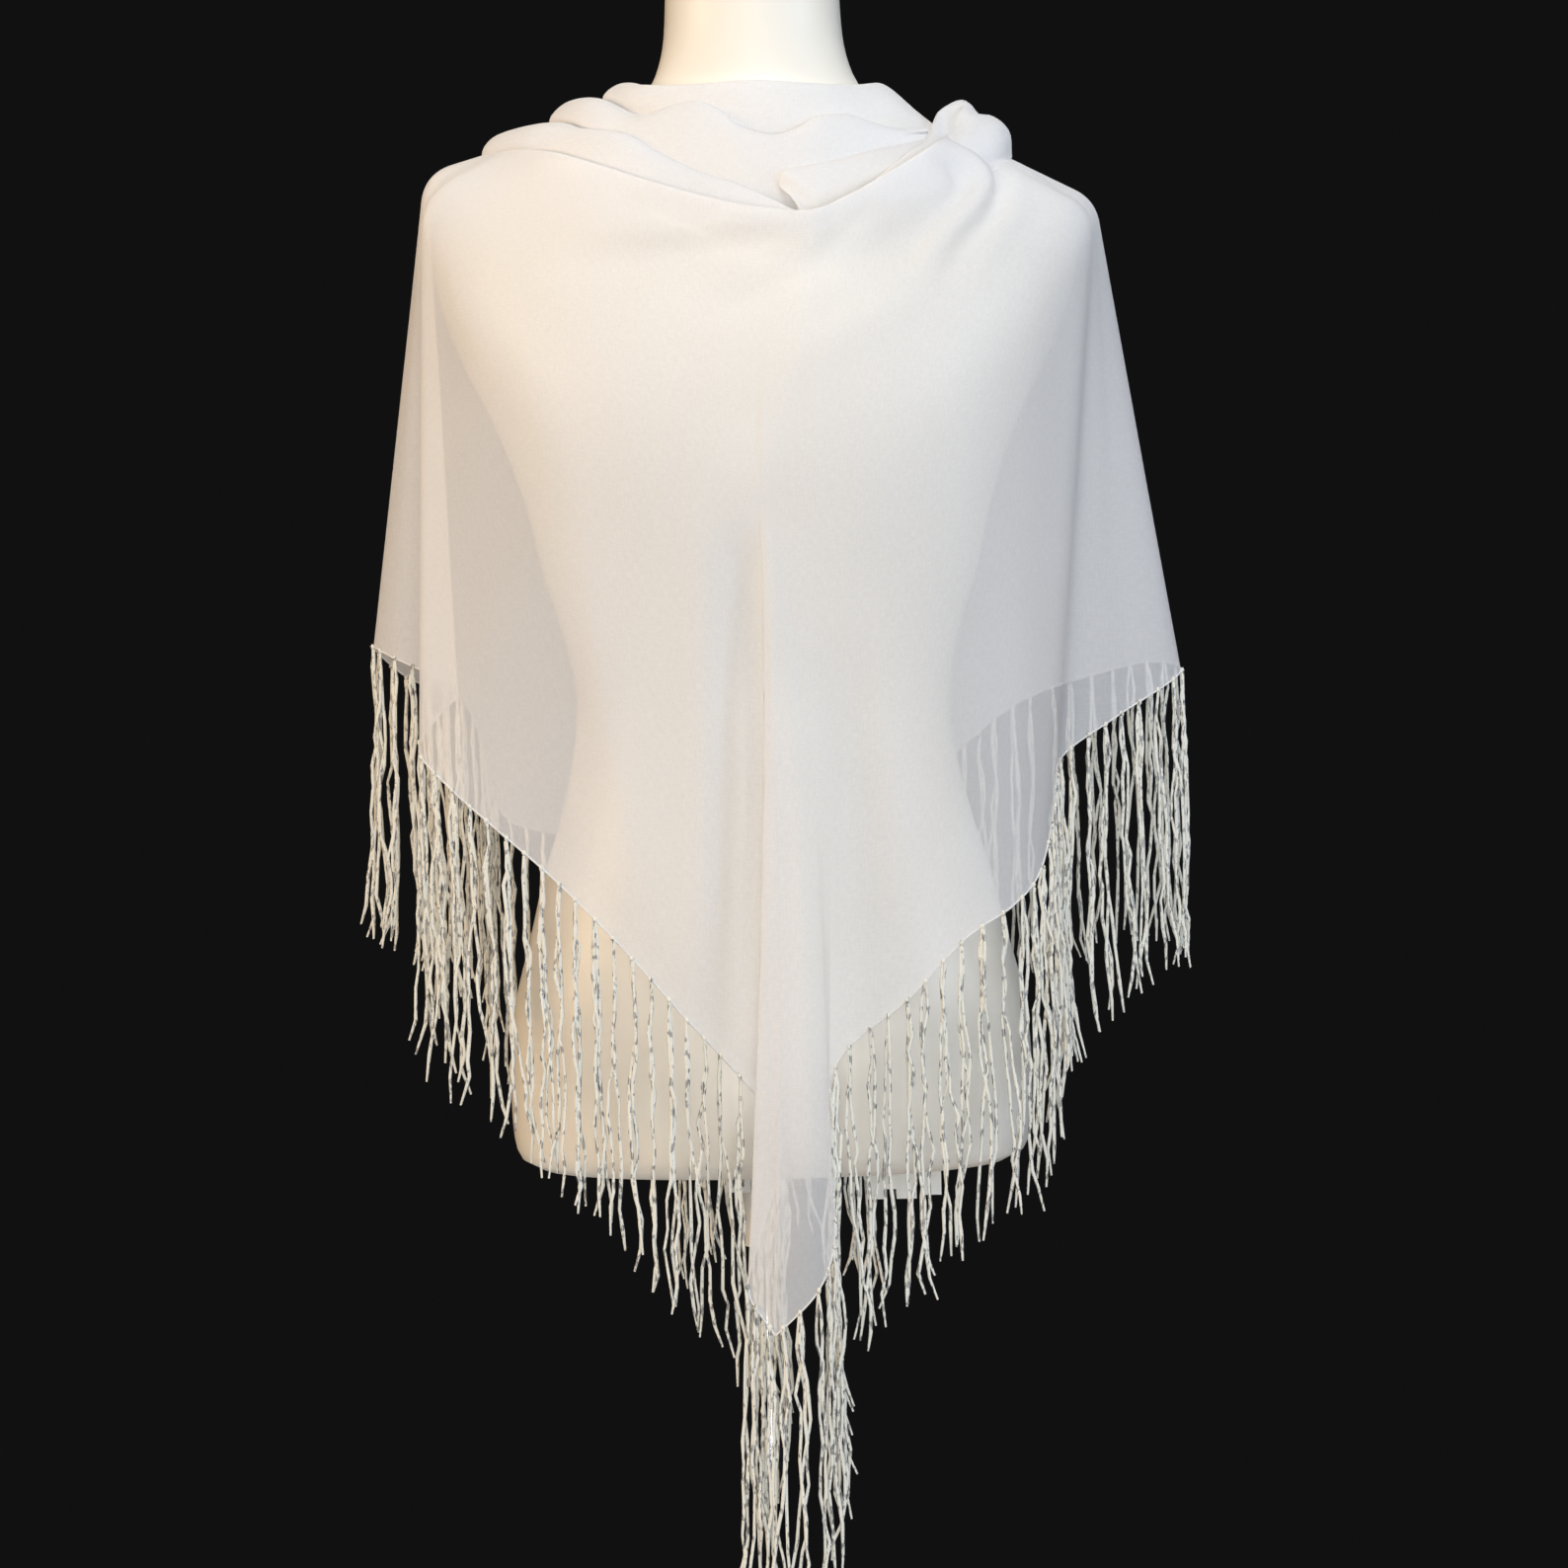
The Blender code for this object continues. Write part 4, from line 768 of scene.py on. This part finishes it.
def makeBunch():
    stations = np.array([[(x, y, z) for x, z in outline] for y, outline in bunch["outlines"]], float)
    fullest = np.linalg.norm(np.diff(stations[bunch["fullest"]], axis=0), axis=1)
    acrossAt = columnPlaces(fullest, bunch["pointEvery"])
    alongAt = columnPlaces(np.abs(np.diff(stations[:, 0, 1])), bunch["pointEvery"])
    lines = np.array([smoothThrough(station, acrossAt) for station in stations])
    flat = smoothThrough(lines.reshape(len(lines), -1), alongAt)
    grid = flat.reshape(len(alongAt), len(acrossAt), 3)
    grid = clearOfForm(grid.transpose(1, 0, 2), cowl["clearance"])
    made = addPiece("shoulderBunch", sheetMesh(grid), chiffon)
    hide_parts("cowl_bunch")
    return made


shoulderBunch = makeBunch()
print("bunch made")

# Fringe: a knot every few millimetres of hem, and from each knot a few crimped strands, in mm.
fringe = {
    "seed": 7,
    "knotEvery": (12.5, 16.5),
    "strands": (2, 2, 3, 3),
    "length": (164, 178),
    "yarnRadius": 0.98,
    "kinkEvery": 14,
    "kink": 1.7,
    "kinkStray": 0.3,  # share of its step by which a kink is off
    "sway": 3.5,
    "wave": (0, 2.6),
    "lean": 5.0,
    "splay": 7.0,
    "curl": 5.0,
    "flatness": 0.5,  # share of the sway and the splay that goes forth and back
    "swayWaves": (1.5, 5),  # radians along a strand
    "ownWaves": (5, 11),
    "phase": (0, 6),
    "thickness": (0.8, 1.25),
    "rootThickness": 0.8,
    "endThickness": 0.6,
    "rootAround": (0.9, 0.6),  # how far from its knot's middle a strand starts, to the side and forth
    "rootBelow": 1.5,
    "knotSize": (1.5, 1.5, 2.1),
    "knotOut": 0.6,
    "knotTurn": (0.5, 3),  # radians, about y and z
    "uneven": (0.85, 1.15),  # how much a knot and the hem vary in thickness
    "hemRadius": 0.55,
    "roundness": 1,  # a tube of yarn has six sides
}


def tubeMesh(paths, radius):  # tubes of yarn along paths of (place, thickness), as one bmesh
    curve = bpy.data.curves.new("yarnPath", "CURVE")
    curve.dimensions = "3D"
    curve.bevel_depth = radius * mm
    curve.bevel_resolution = fringe["roundness"]
    curve.use_fill_caps = True
    for path in paths:
        spline = curve.splines.new("POLY")
        spline.points.add(len(path) - 1)
        for point, (place, thickness) in zip(spline.points, path):
            point.co = (*toFrame(place), 1.0)
            point.radius = thickness
    guide = bpy.data.objects.new("yarnPath", curve)
    bpy.context.scene.collection.objects.link(guide)
    bpy.context.view_layer.update()
    data = bpy.data.meshes.new_from_object(guide.evaluated_get(bpy.context.evaluated_depsgraph_get()))
    mesh = bmesh.new()
    mesh.from_mesh(data)
    bpy.data.objects.remove(guide)
    bpy.data.curves.remove(curve)
    bpy.data.meshes.remove(data)
    return mesh


def strandPath(root, chance, swing):  # it sways and waves, and splays and curls only near its end
    length = chance.uniform(*fringe["length"])
    own = [chance.uniform(*fringe[key]) for key in ("wave", "ownWaves", "phase")]
    lean = chance.uniform(-1, 1) * fringe["lean"]
    splay = [chance.uniform(-1, 1) * fringe["splay"] * part for part in (1, fringe["flatness"])]
    curl = chance.uniform(-1, 1) * fringe["curl"]
    path, steps = [(np.array(root), fringe["rootThickness"])], round(length / fringe["kinkEvery"])
    for step in range(1, steps + 1):
        stray = chance.uniform(-fringe["kinkStray"], fringe["kinkStray"])
        share = (step + stray * (step < steps)) / steps
        aside = (swing[0] * math.sin(share * swing[1] + swing[2]) + lean) * share + splay[0] * share**5
        aside += own[0] * math.sin(share * own[1] + own[2]) * min(share * 4, 1) + curl * share**12
        forth = swing[0] * fringe["flatness"] * math.cos(share * swing[1] + swing[2]) * share
        forth += splay[1] * share**4
        kink = chance.uniform(-1, 1) * fringe["kink"], chance.uniform(-1, 1) * fringe["kink"]
        place = np.array(root) + (aside + kink[0], forth + kink[1], -share * length)
        path.append((place, chance.uniform(*fringe["thickness"])))
    path[-1] = (path[-1][0], fringe["endThickness"])
    return path


def makeFringe(name, node, first, last, chance):
    line, out = hemLine[first:last + 1], hemFacing[first:last + 1]
    lengths = np.concatenate(([0], np.cumsum(np.linalg.norm(np.diff(line, axis=0), axis=1))))
    paths, knots, gone = [], [], fringe["knotEvery"][0] / 2
    while gone < lengths[-1]:
        knot = np.array([np.interp(gone, lengths, line[:, k]) for k in range(3)])
        facing = np.array([np.interp(gone, lengths, out[:, k]) for k in range(3)])
        knot = knot + facing * fringe["knotOut"]
        knots.append(knot)
        swing = [chance.uniform(-1, 1) * fringe["sway"]]
        swing += [chance.uniform(*fringe["swayWaves"]), chance.uniform(*fringe["phase"])]
        for _ in range(chance.choice(fringe["strands"])):
            around = [chance.uniform(-most, most) for most in fringe["rootAround"]]
            root = knot + (*around, -fringe["rootBelow"])
            paths.append(strandPath(root, chance, swing))
        gone += chance.uniform(*fringe["knotEvery"])
    mesh = tubeMesh(paths, fringe["yarnRadius"])
    leanMost, turnMost = fringe["knotTurn"]
    for knot in knots:
        lean = Matrix.Rotation(chance.uniform(-leanMost, leanMost), 4, "Y")
        turn = Matrix.Rotation(chance.uniform(0, turnMost), 4, "Z")
        size = [side * mm * chance.uniform(*fringe["uneven"]) for side in fringe["knotSize"]]
        place = Matrix.Translation(toFrame(knot)) @ (lean @ turn) @ Matrix.Diagonal(size + [1.0])
        bmesh.ops.create_icosphere(mesh, subdivisions=1, radius=1, matrix=place)
    made = addPiece(name, mesh, yarn)
    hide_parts(node)
    print(name, len(knots), "knots,", len(paths), "strands")
    return made


def hemColumn(number):  # the column of the hem nearest to a row of the table
    return int(np.argmin(np.abs(hemWhere - number)))


def makeFringes():
    chance = random.Random(fringe["seed"])
    left, front = len(shawlBody["wingLeft"]), len(shawlBody["front"])
    tip = left + [row[0] for row in shawlBody["front"]].index("tip")
    runs = (
        ("fringeWingLeft", "fringe_wing_left", 0, hemColumn(left)),
        ("fringeFrontLeft", "fringe_front_left", hemColumn(left), hemColumn(tip)),
        ("fringeFrontRight", "fringe_front_right", hemColumn(tip), hemColumn(left + front)),
        ("fringeWingRight", "fringe_wing_right", hemColumn(left + front), len(hemLine) - 1),
    )
    return [makeFringe(*run, chance) for run in runs]


def makeHem():
    chance = random.Random(fringe["seed"])
    path = [(place, chance.uniform(*fringe["uneven"])) for place in hemLine]
    mesh = tubeMesh([path], fringe["hemRadius"])
    made = addPiece("rolledHem", mesh, hemThread)
    return made


fringes = makeFringes()
rolledHem = makeHem()
print("fringe and hem made")

# Stand: a turned base plate with its boss, and the pole, in mm from the pole's axis.
stand = {
    "baseRadius": 145, "baseHeight": 12, "edge": 2.5, "bossRadius": 21, "bossHeight": 30,
    "poleRadius": 10.5, "poleLow": 12.3, "poleHigh": 599.4, "poleEdge": 0.8, "play": 0.3,
    "sides": 96, "edgeSteps": 4, "sharpFrom": 40,
}


def spunPiece(name, outline, node):  # a turned piece, from its outline of (radius, height)
    mesh = bmesh.new()
    verts = [mesh.verts.new((radius * mm, 0, height * mm)) for radius, height in outline]
    edges = [mesh.edges.new(pair) for pair in zip(verts, verts[1:])]
    bmesh.ops.spin(
        mesh, geom=verts + edges, axis=(0, 0, 1), cent=(0, 0, 0), steps=stand["sides"],
        angle=2 * math.pi, use_merge=True, use_duplicate=False,
    )
    bmesh.ops.remove_doubles(mesh, verts=mesh.verts, dist=weldWithin)
    bmesh.ops.recalc_face_normals(mesh, faces=mesh.faces)
    made = addPiece(name, mesh, chrome, stand["sharpFrom"])
    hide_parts(node)


def roundedOutline(corners, radius):  # an outline with its corners rounded, apart from its two ends
    points = [np.array(corner, float) for corner in corners]
    made = [points[0]]
    for before, corner, after in zip(points, points[1:], points[2:]):
        rows = turnCorner(before[None], corner[None], after[None], radius, stand["edgeSteps"])
        made += [row[0] for row in rows]
    return made + [points[-1]]


def makeStand():
    size = stand
    top = size["baseHeight"] + size["bossHeight"]
    bore = size["poleRadius"] + size["play"]
    outline = (
        (0, 0), (size["baseRadius"], 0), (size["baseRadius"], size["baseHeight"]),
        (size["bossRadius"], size["baseHeight"]), (size["bossRadius"], top), (bore, top),
        (bore, size["baseHeight"]), (0, size["baseHeight"]),
    )
    spunPiece("basePlate", roundedOutline(outline, size["edge"]), "stand_base")
    outline = (
        (0, size["poleLow"]), (size["poleRadius"], size["poleLow"]),
        (size["poleRadius"], size["poleHigh"]), (0, size["poleHigh"]),
    )
    spunPiece("standTube", roundedOutline(outline, size["poleEdge"]), "stand_pole")


makeStand()
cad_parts["form_bracket"].data.materials.clear()
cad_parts["form_bracket"].data.materials.append(bracketPlastic)
print("stand made")

# The camera stands 2 m in front of the form at the height of its waist, turned as the photograph is.
view = {
    "place": (0.0164, -2.0, 0.86),
    "target": (0.0164, 0.0, 0.8336),
    "pixels": 1588,
    "focalPixels": 2.0 / 0.0006,  # a pixel is 0.6 mm wide at 2 m
    "tilt": 0.022,
    "sensor": 36,
}
camera = bpy.data.objects.new("camera", bpy.data.cameras.new("camera"))
bpy.context.scene.collection.objects.link(camera)
camera.data.lens = view["sensor"] * view["focalPixels"] / view["pixels"]
camera.data.sensor_width = view["sensor"]
camera.location = view["place"]
aim = (Vector(view["target"]) - Vector(view["place"])).to_track_quat("-Z", "Y")
camera.rotation_mode = "QUATERNION"
camera.rotation_quaternion = aim @ Quaternion((0, 0, 1), -math.atan(view["tilt"]))
bpy.context.scene.camera = camera

# Soft studio light: a warm window on the left, a cool one on the right, a ceiling, and fills in front
# and behind.
lamps = (
    # name, place, target, size, watts, colour
    ("warmWindow", (-2.2, -0.8, 1.4), (0, 0, 0.9), 1.1, 31, "#FFDBB0"),
    ("coolWindow", (2.1, -1.1, 1.4), (0, 0, 0.9), 1.1, 23, "#D4E5FF"),
    ("ceiling", (0.1, -1.0, 2.7), (0, 0, 1.0), 1.3, 27, "#FFFEFC"),
    ("frontFill", (0.0, -2.9, 0.7), (0, 0, 0.8), 1.3, 40, "#FBFCFF"),
    ("backFill", (0.3, 1.9, 2.2), (0, 0, 1.0), 1.4, 19, "#F4F6FF"),
)
for name, place, target, size, watts, colour in lamps:
    lamp = bpy.data.objects.new(name, bpy.data.lights.new(name, "AREA"))
    bpy.context.scene.collection.objects.link(lamp)
    lamp.location = place
    lamp.rotation_euler = (Vector(target) - Vector(place)).to_track_quat("-Z", "Y").to_euler()
    lamp.data.shape = "DISK"
    lamp.data.size = size
    lamp.data.energy = watts
    lamp.data.color = linearColour(colour)[:3]
    lamp.visible_glossy = name != "backFill"  # it would show as a spot on the form's gloss

world = bpy.data.worlds.new("studioDark")
world.use_nodes = True
world.node_tree.nodes["Background"].inputs["Color"].default_value = linearColour("#111112")
bpy.context.scene.world = world
bpy.context.scene.view_settings.view_transform = "Standard"

floorMesh = bmesh.new()
bmesh.ops.create_circle(floorMesh, cap_ends=True, segments=128, radius=1.2)
floorData = bpy.data.meshes.new("floor")
floorMesh.to_mesh(floorData)
floorMesh.free()
floorData.materials.append(floorPaint)
floor = bpy.data.objects.new("floor", floorData)
bpy.context.scene.collection.objects.link(floor)
print("studio made")
